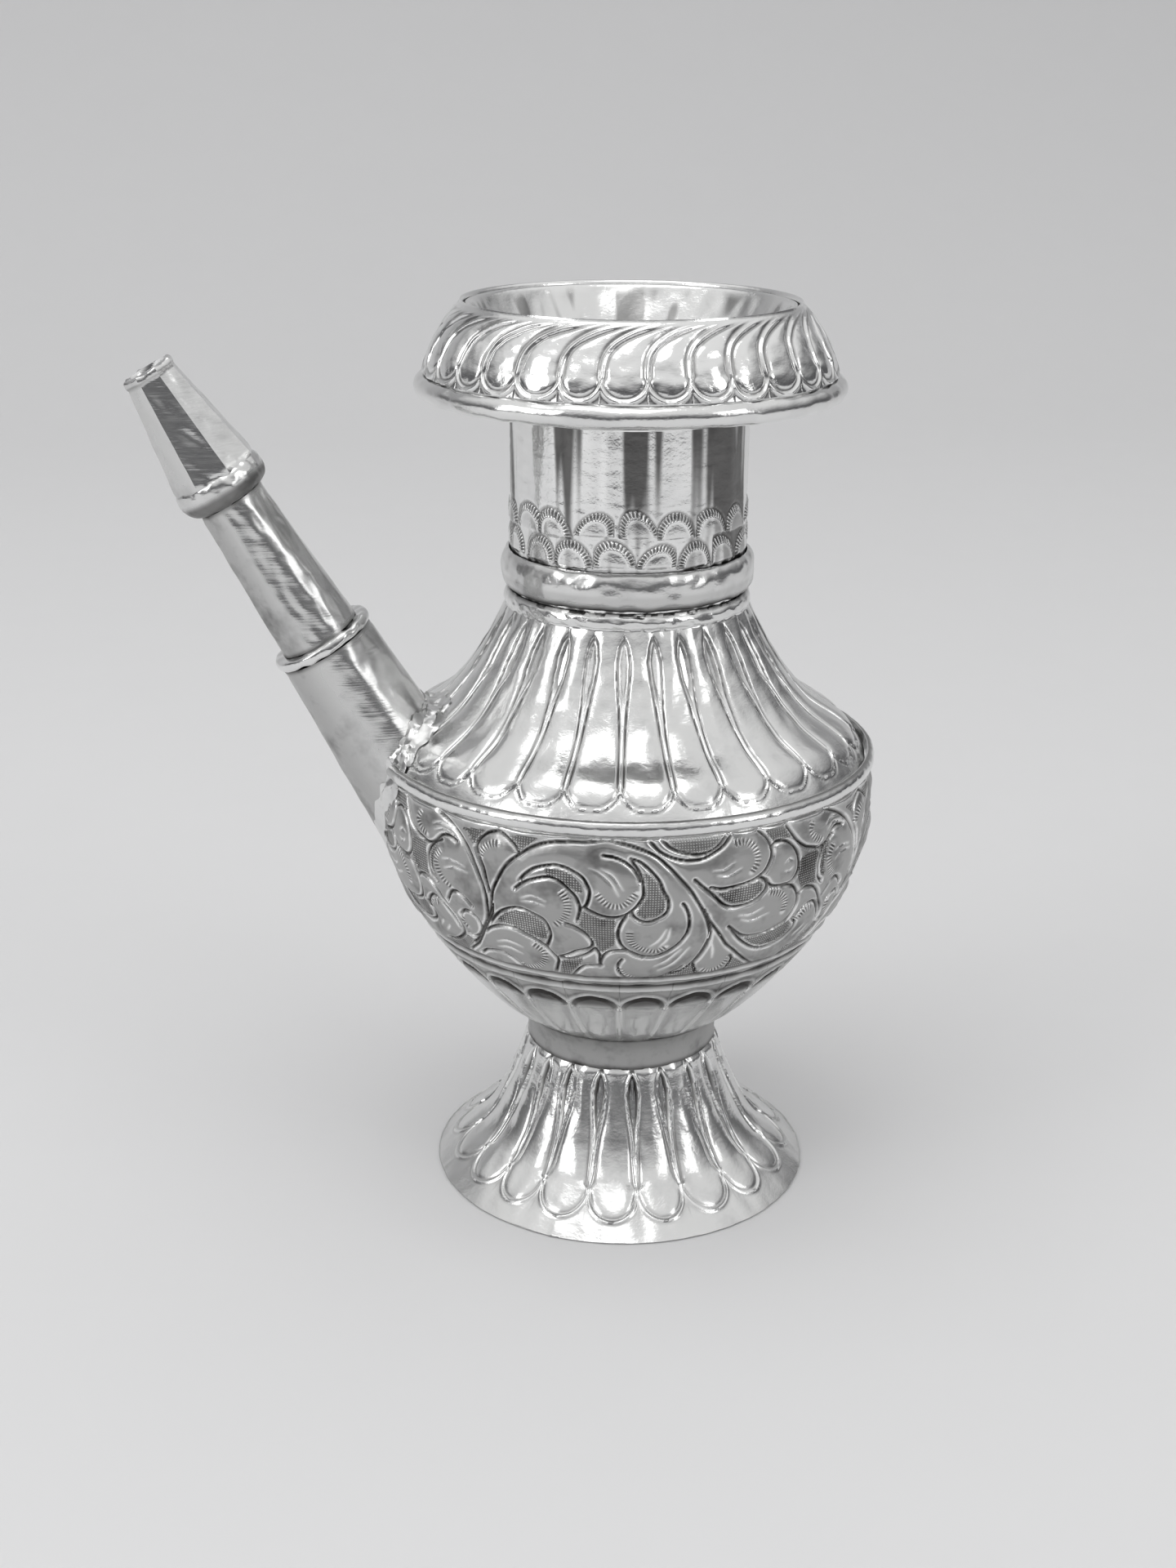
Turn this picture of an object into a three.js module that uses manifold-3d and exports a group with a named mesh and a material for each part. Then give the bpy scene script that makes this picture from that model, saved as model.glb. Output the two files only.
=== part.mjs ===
import * as THREE from 'three';
import { mergeVertices } from 'three/addons/utils/BufferGeometryUtils.js';
import Module from 'manifold-3d';

// Ritual water jug of chased silver sheet, in millimetres, standing on its foot at z = 0.
// The spout points along -X. The origin is under the middle of the whole outline, so the
// jug's own axis stands a little to the +X side of it.

// Driving dimensions: sheet and joints
const SHEET = 0.9;
const SOLDER_GAP = 0.3;
const ROUND_STEPS = 48;

// Driving dimensions: foot and collar
const FOOT_EDGE_R = 37.2;
const FOOT_HEIGHT = 27.3;
const FOOT_RING_WIDTH = 1.6;
const FOOT_PLAIN_BORDER = 3.0;
const FOOT_PETALS = 20;
const PETAL_DEPTH = 0.5;
const COLLAR_R = 18.6;
const COLLAR_FLARE = 1.3;
const COLLAR_HEIGHT = 5.0;

// Driving dimensions: belly, seam and shoulder
const BOWL_HEIGHT = 54.8;
const BOWL_DIP = 2.0;
const BELLY_R = 47.1;
const BELLY_WIDEST_UP = 45.7;
const BOWL_PETALS = 24;
const BOWL_PETAL_TOP_UP = 18.7;
const SEAM_INSET = 1.7;
const SEAM_BEAD_WIDTH = 2.8;
const SEAM_BEAD_PROUD = 0.7;
const SHOULDER_HEIGHT = 28.1;
const SHOULDER_TOP_PROUD = 1.0;
const SHOULDER_FLUTES = 28;
const FLUTE_DEPTH = 0.55;

// Driving dimensions: neck and its rings
const NECK_R = 21.6;
const NECK_HEIGHT = 35.0;
const STEP_RING_HEIGHT = 3.0;
const STEP_RING_PROUD = 0.5;
const NECK_BEAD_HEIGHT = 7.0;
const NECK_BEAD_PROUD = 1.2;

// Driving dimensions: mouth and drooping rim
const MOUTH_HEIGHT = 19.8;
const MOUTH_R = 29.9;
const RIM_DROP = 12.5;
const RIM_OVERHANG = 7.5;
const RIM_BEAD_R = 2.0;
const RIM_LOBES = 31;
const LOBE_DEPTH = 0.5;
const LOBE_TWIST = 12;

// Driving dimensions: spout, measured along its own axis from the wall outwards
const SPOUT_RISE = 60;
const SPOUT_ROOT_INSET = 6.1;
const SPOUT_ROOT_BELOW_SEAM = 4.0;
const ROOT_TUBE_LENGTH = 29.7;
const ROOT_TUBE_R = 10.9;
const ROOT_TUBE_TOP_R = 9.1;
const SPOUT_RING_PROUD = 0.5;
const SPOUT_RING_HEIGHT = 2.1;
const MIDDLE_TUBE_LENGTH = 29.3;
const MIDDLE_TUBE_R = 7.6;
const MIDDLE_TUBE_TOP_R = 6.1;
const BULB_PROUD = 1.9;
const BULB_HEIGHT = 5.1;
const NOZZLE_LENGTH = 21.5;
const NOZZLE_INSET = 0.5;
const NOZZLE_TIP_R = 4.5;
const NOZZLE_SIDES = 8;
const SOLDER_WIDTH = 1.3;
const SOLDER_THICKNESS = 1.2;
const ROOT_INSIDE = 20;

// Heights that follow from them
const COLLAR_Z = FOOT_HEIGHT;
const BOWL_Z = COLLAR_Z + COLLAR_HEIGHT;
const SEAM_Z = BOWL_Z + BOWL_HEIGHT;
const NECK_Z = SEAM_Z + SHOULDER_HEIGHT;
const STEP_RING_TOP_Z = NECK_Z + STEP_RING_HEIGHT;
const NECK_BEAD_Z = STEP_RING_TOP_Z + SOLDER_GAP;
const MOUTH_Z = NECK_Z + NECK_HEIGHT;
const TOP_Z = MOUTH_Z + MOUTH_HEIGHT;

// Radii that follow from what each piece fits
const COLLAR_TOP_R = COLLAR_R + COLLAR_FLARE;
const SEAM_R = BELLY_R - SEAM_INSET;
const SHOULDER_TOP_R = NECK_R + SHOULDER_TOP_PROUD;
const RIM_FOOT_R = MOUTH_R + RIM_OVERHANG;
const SPOUT_ROOT_R = BELLY_R - SPOUT_ROOT_INSET;
const SPOUT_ROOT_Z = SEAM_Z - SPOUT_ROOT_BELOW_SEAM;
const SPOUT_RING_R = ROOT_TUBE_TOP_R + SPOUT_RING_PROUD;
const BULB_R = MIDDLE_TUBE_TOP_R + BULB_PROUD;
const NOZZLE_R = BULB_R - NOZZLE_INSET;

const degrees = Math.PI / 180;
const v2 = (r, z) => new THREE.Vector2(r, z);

// The spout's reach from the jug's axis sets where that axis stands
const SPOUT_LENGTH = ROOT_TUBE_LENGTH + SPOUT_RING_HEIGHT + MIDDLE_TUBE_LENGTH + BULB_HEIGHT + NOZZLE_LENGTH;
const SPOUT_REACH = SPOUT_ROOT_R + SPOUT_LENGTH * Math.cos(SPOUT_RISE * degrees)
  + NOZZLE_TIP_R * Math.cos(Math.PI / NOZZLE_SIDES) * Math.sin(SPOUT_RISE * degrees);
const AXIS_X = (SPOUT_REACH - BELLY_R) / 2;

const silver = (shade, roughness) => new THREE.MeshStandardMaterial({
  color: new THREE.Color(shade, shade, shade * 0.98), roughness, metalness: 1,
});
const polished = silver(0.86, 0.16);
const worn = silver(0.72, 0.3);

const wasm = await Module();
wasm.setup();

// Turned shapes: a profile of radius and height, spun about +Z
function turned(profile, steps = ROUND_STEPS) {
  const geometry = new THREE.LatheGeometry([...profile, profile[0]], steps);
  geometry.rotateX(Math.PI / 2);
  return geometry;
}

function turnedFromAxis(profile, steps = ROUND_STEPS) {
  const geometry = new THREE.LatheGeometry(profile, steps);
  geometry.rotateX(Math.PI / 2);
  return geometry;
}

const curve = (start, c1, c2, end, steps) => new THREE.CubicBezierCurve(start, c1, c2, end).getPoints(steps);

// A line moved sideways by a distance, towards the axis when the line runs upwards
function offset(line, distance) {
  return line.map((p, i) => {
    const before = line[Math.max(i - 1, 0)];
    const after = line[Math.min(i + 1, line.length - 1)];
    const along = after.clone().sub(before).normalize();
    return v2(p.x - along.y * distance, p.y + along.x * distance);
  });
}

// Sheet bent along a line: the outside going up, then the inside coming down, with level ends
function sheet(line, wall = SHEET) {
  const inside = offset(line, wall);
  inside[0].y = line[0].y;
  inside[inside.length - 1].y = line[line.length - 1].y;
  return [...line, ...inside.reverse()];
}

// Chased lobes: every third column of a run of outer rows is pushed in by the given depth
function chase(geometry, rows, columnsPerLobe, depthOfRow) {
  const position = geometry.attributes.position;
  const columns = position.count / rows;
  for (let column = 0; column < columns; column += 1) {
    if (column % columnsPerLobe !== 0) continue;
    for (let row = 0; row < rows; row += 1) {
      const index = column * rows + row;
      const depth = depthOfRow(row);
      if (depth === 0) continue;
      const x = position.getX(index);
      const y = position.getY(index);
      const r = Math.hypot(x, y);
      position.setXY(index, x * (r - depth) / r, y * (r - depth) / r);
    }
  }
  geometry.computeVertexNormals();
  return geometry;
}

// Solids for joining and cutting
function solid(geometry) {
  const bare = geometry.clone();
  bare.deleteAttribute('normal');
  bare.deleteAttribute('uv');
  const joined = mergeVertices(bare, 1e-4);
  return new wasm.Manifold(new wasm.Mesh({
    numProp: 3,
    vertProperties: new Float32Array(joined.attributes.position.array),
    triVerts: new Uint32Array(joined.index.array),
  }));
}

function fromSolid(body) {
  const mesh = body.getMesh();
  const geometry = new THREE.BufferGeometry();
  geometry.setAttribute('position', new THREE.BufferAttribute(new Float32Array(mesh.vertProperties), 3));
  geometry.setIndex(new THREE.BufferAttribute(new Uint32Array(mesh.triVerts), 1));
  geometry.computeVertexNormals();
  return geometry;
}

const jug = new THREE.Group();
jug.position.set(AXIS_X, 0, 0);

function piece(parent, name, geometry, material) {
  const mesh = new THREE.Mesh(geometry, material.clone());
  mesh.name = name;
  parent.add(mesh);
  return mesh;
}

// Foot: sheet flared to a flat edge, with hanging petals chased between two plain borders
const footLine = curve(v2(FOOT_EDGE_R, 0), v2(FOOT_EDGE_R * 0.733, FOOT_HEIGHT * 0.33),
  v2(COLLAR_R * 1.4, FOOT_HEIGHT * 0.19), v2(COLLAR_R, FOOT_HEIGHT), 7);
const footProfile = sheet(footLine);
footProfile[footProfile.length - 1].x = FOOT_EDGE_R - FOOT_RING_WIDTH;
const foot = chase(turned(footProfile, FOOT_PETALS * 3), footProfile.length + 1, 3, (row) => {
  const inRun = row > 0 && row < footLine.length - 1 && footLine[row].y > FOOT_PLAIN_BORDER;
  return inRun ? PETAL_DEPTH : 0;
});
piece(jug, 'foot_flare', foot, polished);

const collarLine = [v2(COLLAR_R, COLLAR_Z), v2(COLLAR_R, COLLAR_Z + COLLAR_HEIGHT * 0.6), v2(COLLAR_TOP_R, BOWL_Z)];
piece(jug, 'foot_collar', turned(sheet(collarLine)), worn);

// Body outline, below and above the seam
const lowerLine = [
  ...curve(v2(COLLAR_TOP_R, BOWL_Z), v2(BELLY_R * 0.62, BOWL_Z + BELLY_WIDEST_UP * 0.19),
    v2(BELLY_R, BOWL_Z + BELLY_WIDEST_UP * 0.58), v2(BELLY_R, BOWL_Z + BELLY_WIDEST_UP), 8),
  v2((BELLY_R + SEAM_R) / 2 + 0.3, BOWL_Z + (BELLY_WIDEST_UP + BOWL_HEIGHT) / 2),
  v2(SEAM_R, SEAM_Z),
];
const upperLine = curve(v2(SEAM_R, SEAM_Z), v2(SEAM_R * 0.865, SEAM_Z + SHOULDER_HEIGHT * 0.42),
  v2(SHOULDER_TOP_R * 1.57, SEAM_Z + SHOULDER_HEIGHT * 0.06), v2(SHOULDER_TOP_R, NECK_Z), 7);

// A plain solid of the body's outside, grown by a distance, to fit the spout against
function bodySolid(grow) {
  const lower = offset(lowerLine, -grow);
  const upper = offset(upperLine, -grow);
  const seam = v2(Math.max(lower[lower.length - 1].x, upper[0].x), SEAM_Z);
  const line = [v2(0, BOWL_Z - grow), ...lower.slice(0, -1), seam, ...upper.slice(1), v2(0, NECK_Z + grow)];
  return solid(turnedFromAxis(line, SHOULDER_FLUTES * 3));
}

// Spout frame: its origin is where its axis meets the wall, and its own +Z runs out along it
const spout = new THREE.Group();
spout.position.set(-SPOUT_ROOT_R, 0, SPOUT_ROOT_Z);
spout.rotation.set(0, -(90 - SPOUT_RISE) * degrees, 0);
spout.updateMatrix();
jug.add(spout);

// A rod along the spout, straight inside the body and tapered outside it
const rootTaper = (ROOT_TUBE_R - ROOT_TUBE_TOP_R) / ROOT_TUBE_LENGTH;
function spoutCone(grow, from, to) {
  const low = ROOT_TUBE_R + grow;
  const cone = turnedFromAxis([v2(0, from), v2(low, from), v2(low, 0), v2(low - rootTaper * to, to), v2(0, to)], 28);
  return solid(cone.applyMatrix4(spout.matrix));
}
const bore = spoutCone(-SHEET - SOLDER_GAP, -ROOT_INSIDE, ROOT_TUBE_LENGTH + 1);
const beadGap = spoutCone(SOLDER_WIDTH + 2 * SOLDER_GAP, -ROOT_INSIDE, ROOT_TUBE_LENGTH);

// Belly: a raised bowl with its own bottom, open behind the spout
const bowlInside = offset(lowerLine, SHEET).filter((p, i) => i % 2 === 1).reverse();
bowlInside[0].y = SEAM_Z;
const bowlProfile = [
  v2(0, BOWL_Z - BOWL_DIP),
  v2(COLLAR_R - SHEET - 4.5, BOWL_Z - BOWL_DIP * 0.8),
  v2(COLLAR_TOP_R - SHEET - 4 * SOLDER_GAP, BOWL_Z),
  ...lowerLine,
  ...bowlInside,
  v2(COLLAR_TOP_R - SHEET, BOWL_Z + SHEET + 0.2),
  v2(0, BOWL_Z - BOWL_DIP + SHEET),
];
const bowl = chase(turnedFromAxis(bowlProfile, BOWL_PETALS * 3), bowlProfile.length, 3, (row) => {
  const onOutside = row > 3 && row < 3 + lowerLine.length;
  const underPetals = onOutside && bowlProfile[row].y < BOWL_Z + BOWL_PETAL_TOP_UP;
  return underPetals ? PETAL_DEPTH : 0;
});
piece(jug, 'belly_bowl', fromSolid(solid(bowl).subtract(bore)), polished);

// Shoulder: fluted sheet whose top edge is turned in to seat the neck
const shoulderInside = offset(upperLine, SHEET).reverse();
shoulderInside[shoulderInside.length - 1].y = SEAM_Z;
shoulderInside[0].set(NECK_R - SHEET, NECK_Z - SHEET);
const shoulderProfile = [...upperLine, v2(NECK_R - SHEET, NECK_Z), ...shoulderInside];
const shoulder = chase(turned(shoulderProfile, SHOULDER_FLUTES * 3), shoulderProfile.length + 1, 3, (row) => {
  const onOutside = row > 0 && row < upperLine.length - 1;
  return onOutside ? FLUTE_DEPTH : 0;
});
piece(jug, 'shoulder', fromSolid(solid(shoulder).subtract(bore)), polished);

// Half-round wires and rings that lie on the outside of a wall
function halfRound(wallR, z, height, proud, steps) {
  const half = height / 2;
  const start = wallR + SOLDER_GAP;
  const outline = [v2(start, z + height), v2(start, z)];
  for (let i = 0; i <= 4; i += 1) {
    const turn = (-90 + i * 45) * degrees;
    outline.push(v2(start + 0.15 + proud * Math.cos(turn), z + half + half * Math.sin(turn)));
  }
  return turned(outline, steps);
}

const seamBead = halfRound(SEAM_R + 0.4, SEAM_Z - SEAM_BEAD_WIDTH / 2, SEAM_BEAD_WIDTH, SEAM_BEAD_PROUD, 60);
piece(jug, 'belly_bead', fromSolid(solid(seamBead).subtract(beadGap)), polished);

// Neck and its two rings
piece(jug, 'neck_tube', turned(sheet([v2(NECK_R, NECK_Z), v2(NECK_R, MOUTH_Z)])), polished);
const stepRing = [
  v2(NECK_R + SOLDER_GAP, NECK_Z),
  v2(SHOULDER_TOP_R, NECK_Z),
  v2(SHOULDER_TOP_R, NECK_Z + STEP_RING_HEIGHT * 0.5),
  v2(NECK_R + STEP_RING_PROUD, STEP_RING_TOP_Z),
  v2(NECK_R + SOLDER_GAP, STEP_RING_TOP_Z),
];
piece(jug, 'neck_step_ring', turned(stepRing), polished);
piece(jug, 'neck_bead', halfRound(NECK_R, NECK_BEAD_Z, NECK_BEAD_HEIGHT, NECK_BEAD_PROUD, ROUND_STEPS), polished);

// Mouth: an inner funnel on the neck, and a drooping lobed rim over it with a wire edge
const funnelLine = curve(v2(NECK_R, MOUTH_Z), v2(NECK_R + 0.4, MOUTH_Z + MOUTH_HEIGHT * 0.5),
  v2(MOUTH_R - 3.4, MOUTH_Z + MOUTH_HEIGHT * 0.7), v2(MOUTH_R - 2 * SOLDER_GAP, TOP_Z - 0.6), 4);
piece(jug, 'mouth_funnel', turned(sheet(funnelLine)), polished);

const rimLine = [
  ...curve(v2(RIM_FOOT_R, TOP_Z - RIM_DROP), v2(RIM_FOOT_R - 1.8, TOP_Z - RIM_DROP * 0.5),
    v2(MOUTH_R + 3.3, TOP_Z - RIM_DROP * 0.31), v2(MOUTH_R + 1.0, TOP_Z - 0.5), 5),
  v2(MOUTH_R + 0.4, TOP_Z),
];
const rimInside = offset(rimLine, SHEET).reverse().slice(2);
rimInside[rimInside.length - 1].y = TOP_Z - RIM_DROP;
const rimProfile = [...rimLine, v2(MOUTH_R, TOP_Z), v2(MOUTH_R - 0.2, TOP_Z - 0.6), ...rimInside];
const rim = chase(turned(rimProfile, RIM_LOBES * 2), rimProfile.length + 1, 2, (row) => {
  const onOutside = row > 0 && row < rimLine.length - 2;
  return onOutside ? LOBE_DEPTH : 0;
});
const rimPosition = rim.attributes.position;
for (let i = 0; i < rimPosition.count; i += 1) {
  const up = (rimPosition.getZ(i) - (TOP_Z - RIM_DROP)) / RIM_DROP;
  const turn = LOBE_TWIST * up * up * degrees;
  const x = rimPosition.getX(i);
  const y = rimPosition.getY(i);
  rimPosition.setXY(i, x * Math.cos(turn) - y * Math.sin(turn), x * Math.sin(turn) + y * Math.cos(turn));
}
piece(jug, 'rim_flange', rim, polished);

const rimBead = [];
for (let i = 0; i < 8; i += 1) {
  const turn = (-22.5 + i * 45) * degrees;
  const z = TOP_Z - RIM_DROP - SOLDER_GAP - RIM_BEAD_R + RIM_BEAD_R * Math.sin(turn);
  rimBead.push(v2(RIM_FOOT_R - 0.7 + RIM_BEAD_R * Math.cos(turn), z));
}
piece(jug, 'rim_bead', turned(rimBead, 60), polished);

// Spout: three tubes, a flat ring, a round cup and an eight-sided nozzle, one bore through all
const rootOuter = spoutCone(0, -ROOT_INSIDE, ROOT_TUBE_LENGTH);
const rootInner = spoutCone(-SHEET, -ROOT_INSIDE - 1, ROOT_TUBE_LENGTH + 1);
const back = spout.matrix.clone().invert();
const rootTube = rootOuter.subtract(rootInner).subtract(bodySolid(SOLDER_GAP));
piece(spout, 'spout_root_tube', fromSolid(rootTube).applyMatrix4(back), polished);

const collarSkin = bodySolid(SOLDER_GAP + SOLDER_THICKNESS).subtract(bodySolid(SOLDER_GAP));
const solderRing = spoutCone(SOLDER_GAP + SOLDER_WIDTH, -ROOT_INSIDE, ROOT_TUBE_LENGTH)
  .subtract(spoutCone(SOLDER_GAP, -ROOT_INSIDE - 1, ROOT_TUBE_LENGTH + 1));
piece(spout, 'spout_solder_collar', fromSolid(solderRing.intersect(collarSkin)).applyMatrix4(back), worn);

const RING_Z = ROOT_TUBE_LENGTH;
const MIDDLE_Z = RING_Z + SPOUT_RING_HEIGHT;
const BULB_Z = MIDDLE_Z + MIDDLE_TUBE_LENGTH;
const NOZZLE_Z = BULB_Z + BULB_HEIGHT;
const TIP_Z = NOZZLE_Z + NOZZLE_LENGTH;
const ringBore = MIDDLE_TUBE_R - SHEET;
const stepRingProfile = [
  v2(ringBore, RING_Z + SOLDER_GAP),
  v2(SPOUT_RING_R - 0.4, RING_Z + SOLDER_GAP),
  v2(SPOUT_RING_R, RING_Z + SPOUT_RING_HEIGHT * 0.4),
  v2(SPOUT_RING_R, RING_Z + SPOUT_RING_HEIGHT * 0.7),
  v2(SPOUT_RING_R - 0.4, MIDDLE_Z),
  v2(ringBore, MIDDLE_Z),
];
piece(spout, 'spout_step_ring', turned(stepRingProfile, 28), polished);

const middleLine = [v2(MIDDLE_TUBE_R, MIDDLE_Z + SOLDER_GAP), v2(MIDDLE_TUBE_TOP_R, BULB_Z)];
piece(spout, 'spout_middle_tube', turned(sheet(middleLine), 24), polished);

const cupBore = MIDDLE_TUBE_TOP_R - SHEET;
const cupProfile = [
  v2(cupBore, BULB_Z + SOLDER_GAP),
  v2(MIDDLE_TUBE_TOP_R, BULB_Z + SOLDER_GAP),
  v2(BULB_R * 0.9, BULB_Z + BULB_HEIGHT * 0.35),
  v2(BULB_R, BULB_Z + BULB_HEIGHT * 0.7),
  v2(NOZZLE_R, NOZZLE_Z),
  v2(cupBore, NOZZLE_Z),
];
piece(spout, 'spout_bulb', turned(cupProfile, 24), polished);

const nozzleLine = [v2(NOZZLE_R, NOZZLE_Z + SOLDER_GAP), v2(NOZZLE_TIP_R, TIP_Z)];
const nozzle = turned(sheet(nozzleLine), NOZZLE_SIDES);
nozzle.rotateZ(Math.PI / NOZZLE_SIDES);
piece(spout, 'spout_nozzle', nozzle, polished);

const ritualJug = new THREE.Group();
ritualJug.name = 'ritual_water_jug';
ritualJug.add(jug);

export default ritualJug;
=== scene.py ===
# %% [markdown]
# # A chased silver water jug
# The real jug is thin silver sheet, raised with a hammer and then chased: a blunt punch draws the flutes,
# petals and scrolls into it from outside. This lesson makes each sheet by spinning its outline round the
# jug's axis with bmesh, and then pushes the vertices in and out as the punch would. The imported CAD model
# comes first, because every piece has to sit where that model says.

import math

import bmesh
import bpy
import numpy as np
from mathutils import Matrix, Vector
from mathutils.geometry import interpolate_bezier


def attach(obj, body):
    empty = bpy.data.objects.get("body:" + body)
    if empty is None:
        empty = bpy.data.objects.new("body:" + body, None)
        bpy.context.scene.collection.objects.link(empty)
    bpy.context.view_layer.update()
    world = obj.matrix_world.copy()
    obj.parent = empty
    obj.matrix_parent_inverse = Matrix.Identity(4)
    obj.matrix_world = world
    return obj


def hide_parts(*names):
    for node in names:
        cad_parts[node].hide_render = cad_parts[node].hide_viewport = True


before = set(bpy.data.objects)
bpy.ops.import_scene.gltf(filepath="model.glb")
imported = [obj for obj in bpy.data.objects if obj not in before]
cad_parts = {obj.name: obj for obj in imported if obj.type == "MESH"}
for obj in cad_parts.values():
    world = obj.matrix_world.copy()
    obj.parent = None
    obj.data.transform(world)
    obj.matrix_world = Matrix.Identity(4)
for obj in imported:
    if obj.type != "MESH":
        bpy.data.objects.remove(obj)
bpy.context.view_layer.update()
MM = 0.001

# %% [markdown]
# The jug's axis stands a little to the right of the origin, because the origin is under the middle of the
# whole outline and the spout reaches out to the left. Angles run round that axis from the front, counted
# positive towards the right. The photograph was taken from ten degrees to the left of the front.

# %% Where the jug stands
AXIS_X = 20.675
PHOTO_TURN = 10.0
SHEET = 0.9


def from_photo(angle):
    """Turns an angle read in the photograph's view into one round the jug."""
    return angle - PHOTO_TURN


# %% [markdown]
# ## Outlines
# A raised sheet has a smooth outline, so each one is a cubic Bezier curve through a few radii and heights.
# The points on it are set out at one even spacing along the line, because chased detail needs the same
# density of mesh on a steep part as on a flat one.

# %% Outline helpers
def bend(start, handle_a, handle_b, end, count=1500):
    """Points of radius and height along one Bezier curve."""
    corners = [Vector((r, 0.0, z)) for r, z in (start, handle_a, handle_b, end)]
    return [(p.x, p.z) for p in interpolate_bezier(*corners, count)]


def way_along(line):
    """How far along a line each of its points is."""
    return np.concatenate([[0.0], np.cumsum(np.hypot(*np.diff(line, axis=0).T))])


def even(line, spacing):
    """The same line with points at an even spacing along it."""
    line = np.array(line, float)
    walked = way_along(line)
    count = max(2, int(round(walked[-1] / spacing)) + 1)
    wanted = np.linspace(0.0, walked[-1], count)
    return np.column_stack([np.interp(wanted, walked, line[:, 0]), np.interp(wanted, walked, line[:, 1])])


def outward(line):
    """The outward direction at each point of a line that runs upwards on the outside."""
    along = np.gradient(np.array(line, float), axis=0)
    along /= np.linalg.norm(along, axis=1)[:, None]
    return np.column_stack([along[:, 1], -along[:, 0]])


def inset(line, wall, spacing=4.5):
    """The inside of the sheet behind an outline, with fewer points, running back down."""
    line = np.array(line, float)
    inner = line - outward(line) * wall
    inner[0, 1] = line[0, 1]
    inner[-1, 1] = line[-1, 1]
    return even(inner, spacing)[::-1]


FOOT_TOP = 27.3
COLLAR_TOP = 34.3
BEND_Z = 38.54
SEAM = 87.1
NECK = 115.2
MOUTH = 150.2

foot_line = even(bend((37.2, 0.3), (27.27, 9.0), (26.04, 5.19), (18.6, FOOT_TOP)), 0.3)
lower_start = bend((20.4, COLLAR_TOP), (22.7, 35.4), (24.8, 37.0), (26.3, BEND_Z))
lower_side = bend((19.9, 32.3), (29.2, 40.98), (47.1, 58.8), (47.1, 78.0))
lower_side = [spot for spot in lower_side if spot[1] > BEND_Z]
lower_end = bend((47.1, 78.0), (47.1, 82.0), (46.4, 84.6), (45.4, SEAM))
lower_line = even(lower_start + lower_side[:-1] + lower_end, 0.1)
shoulder_line = even(bend((45.4, SEAM), (39.3, 98.9), (35.5, 88.8), (22.6, NECK)), 0.38)
print("outline points:", len(foot_line), len(lower_line), len(shoulder_line))

# %% [markdown]
# ## Spinning a sheet
# A turned piece could be a Screw modifier, but the chasing needs real vertices, so the outline becomes a
# chain of edges, bmesh spins one sixteenth of a round, and copies of that part close the ring. Each vertex
# of the outline carries its place along the outline, whether it is on the outside, and the way outwards
# into every copy. The chasing reads them back, moves the vertices, and stores values for the materials.

# %% The turned piece
DOUBLINGS = 4


def only(kind, geom):
    """The parts of one kind among those that a bmesh operator gives back."""
    return [part for part in geom if isinstance(part, kind)]


def meshed(bm, name):
    """A finished mesh with its faces turned outwards."""
    bmesh.ops.recalc_face_normals(bm, faces=bm.faces)
    mesh = bpy.data.meshes.new(name)
    bm.to_mesh(mesh)
    bm.free()
    return mesh


def chained(bm, points):
    """Points of radius and height joined by edges, as a loop unless both ends are on the axis."""
    chain = [bm.verts.new((0.0, -r, z)) for r, z in points]
    joined = [bm.edges.new(pair) for pair in zip(chain, chain[1:])]
    if points[0][0] > 0 or points[-1][0] > 0:
        joined.append(bm.edges.new((chain[-1], chain[0])))
    return chain, joined


def spun(bm, chain, joined, steps):
    """Spins one sixteenth of a round, and doubles it four times, which is far quicker than one full spin."""
    shares = 2 ** DOUBLINGS
    part = math.tau / shares
    turn = {"cent": (0, 0, 0), "axis": (0, 0, 1), "angle": part, "steps": steps // shares}
    bmesh.ops.spin(bm, geom=chain + joined, use_merge=False, **turn)
    for doubling in range(DOUBLINGS):
        copied = bmesh.ops.duplicate(bm, geom=bm.verts[:] + bm.edges[:] + bm.faces[:])["geom"]
        fresh = only(bmesh.types.BMVert, copied)
        turn = Matrix.Rotation(part * 2 ** doubling, 3, "Z")
        bmesh.ops.rotate(bm, verts=fresh, cent=(0, 0, 0), matrix=turn)
    bmesh.ops.remove_doubles(bm, verts=bm.verts, dist=2e-3)


def turned(name, outside, inside, steps, relief=None, crowd=None):
    """A turned sheet in millimetres round its own axis, with its chasing pushed into the outside."""
    outside = np.array(outside, float)
    inside = np.array(inside, float).reshape(-1, 2)
    walked = way_along(outside)
    way = outward(outside)
    bm = bmesh.new()
    layers = [bm.verts.layers.float.new(key) for key in ("along", "skin", "out_r", "out_z")]
    chain, joined = chained(bm, [*map(tuple, outside), *map(tuple, inside)])
    for vertex, values in zip(chain, np.column_stack([walked, np.ones(len(walked)), way])):
        for layer, value in zip(layers, values):
            vertex[layer] = value
    spun(bm, chain, joined, steps)
    mesh = meshed(bm, name)
    if relief is not None:
        chase(mesh, relief, crowd)
    return mesh


def read(mesh, key):
    """One vertex value of a mesh as an array."""
    values = np.zeros(len(mesh.vertices), np.float32)
    mesh.attributes[key].data.foreach_get("value", values)
    return values.astype(float)


def write(mesh, key, values):
    """Stores one value for each vertex, for the materials to read."""
    layer = mesh.attributes.get(key) or mesh.attributes.new(key, "FLOAT", "POINT")
    layer.data.foreach_set("value", np.asarray(values, np.float32))


def spots_of(mesh):
    """The angle, radius and height of every vertex round the mesh's own axis."""
    spots = np.zeros(len(mesh.vertices) * 3, np.float32)
    mesh.vertices.foreach_get("co", spots)
    x, y, z = spots.reshape(-1, 3).astype(float).T
    return np.degrees(np.arctan2(x, -y)), np.hypot(x, y), z


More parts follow.
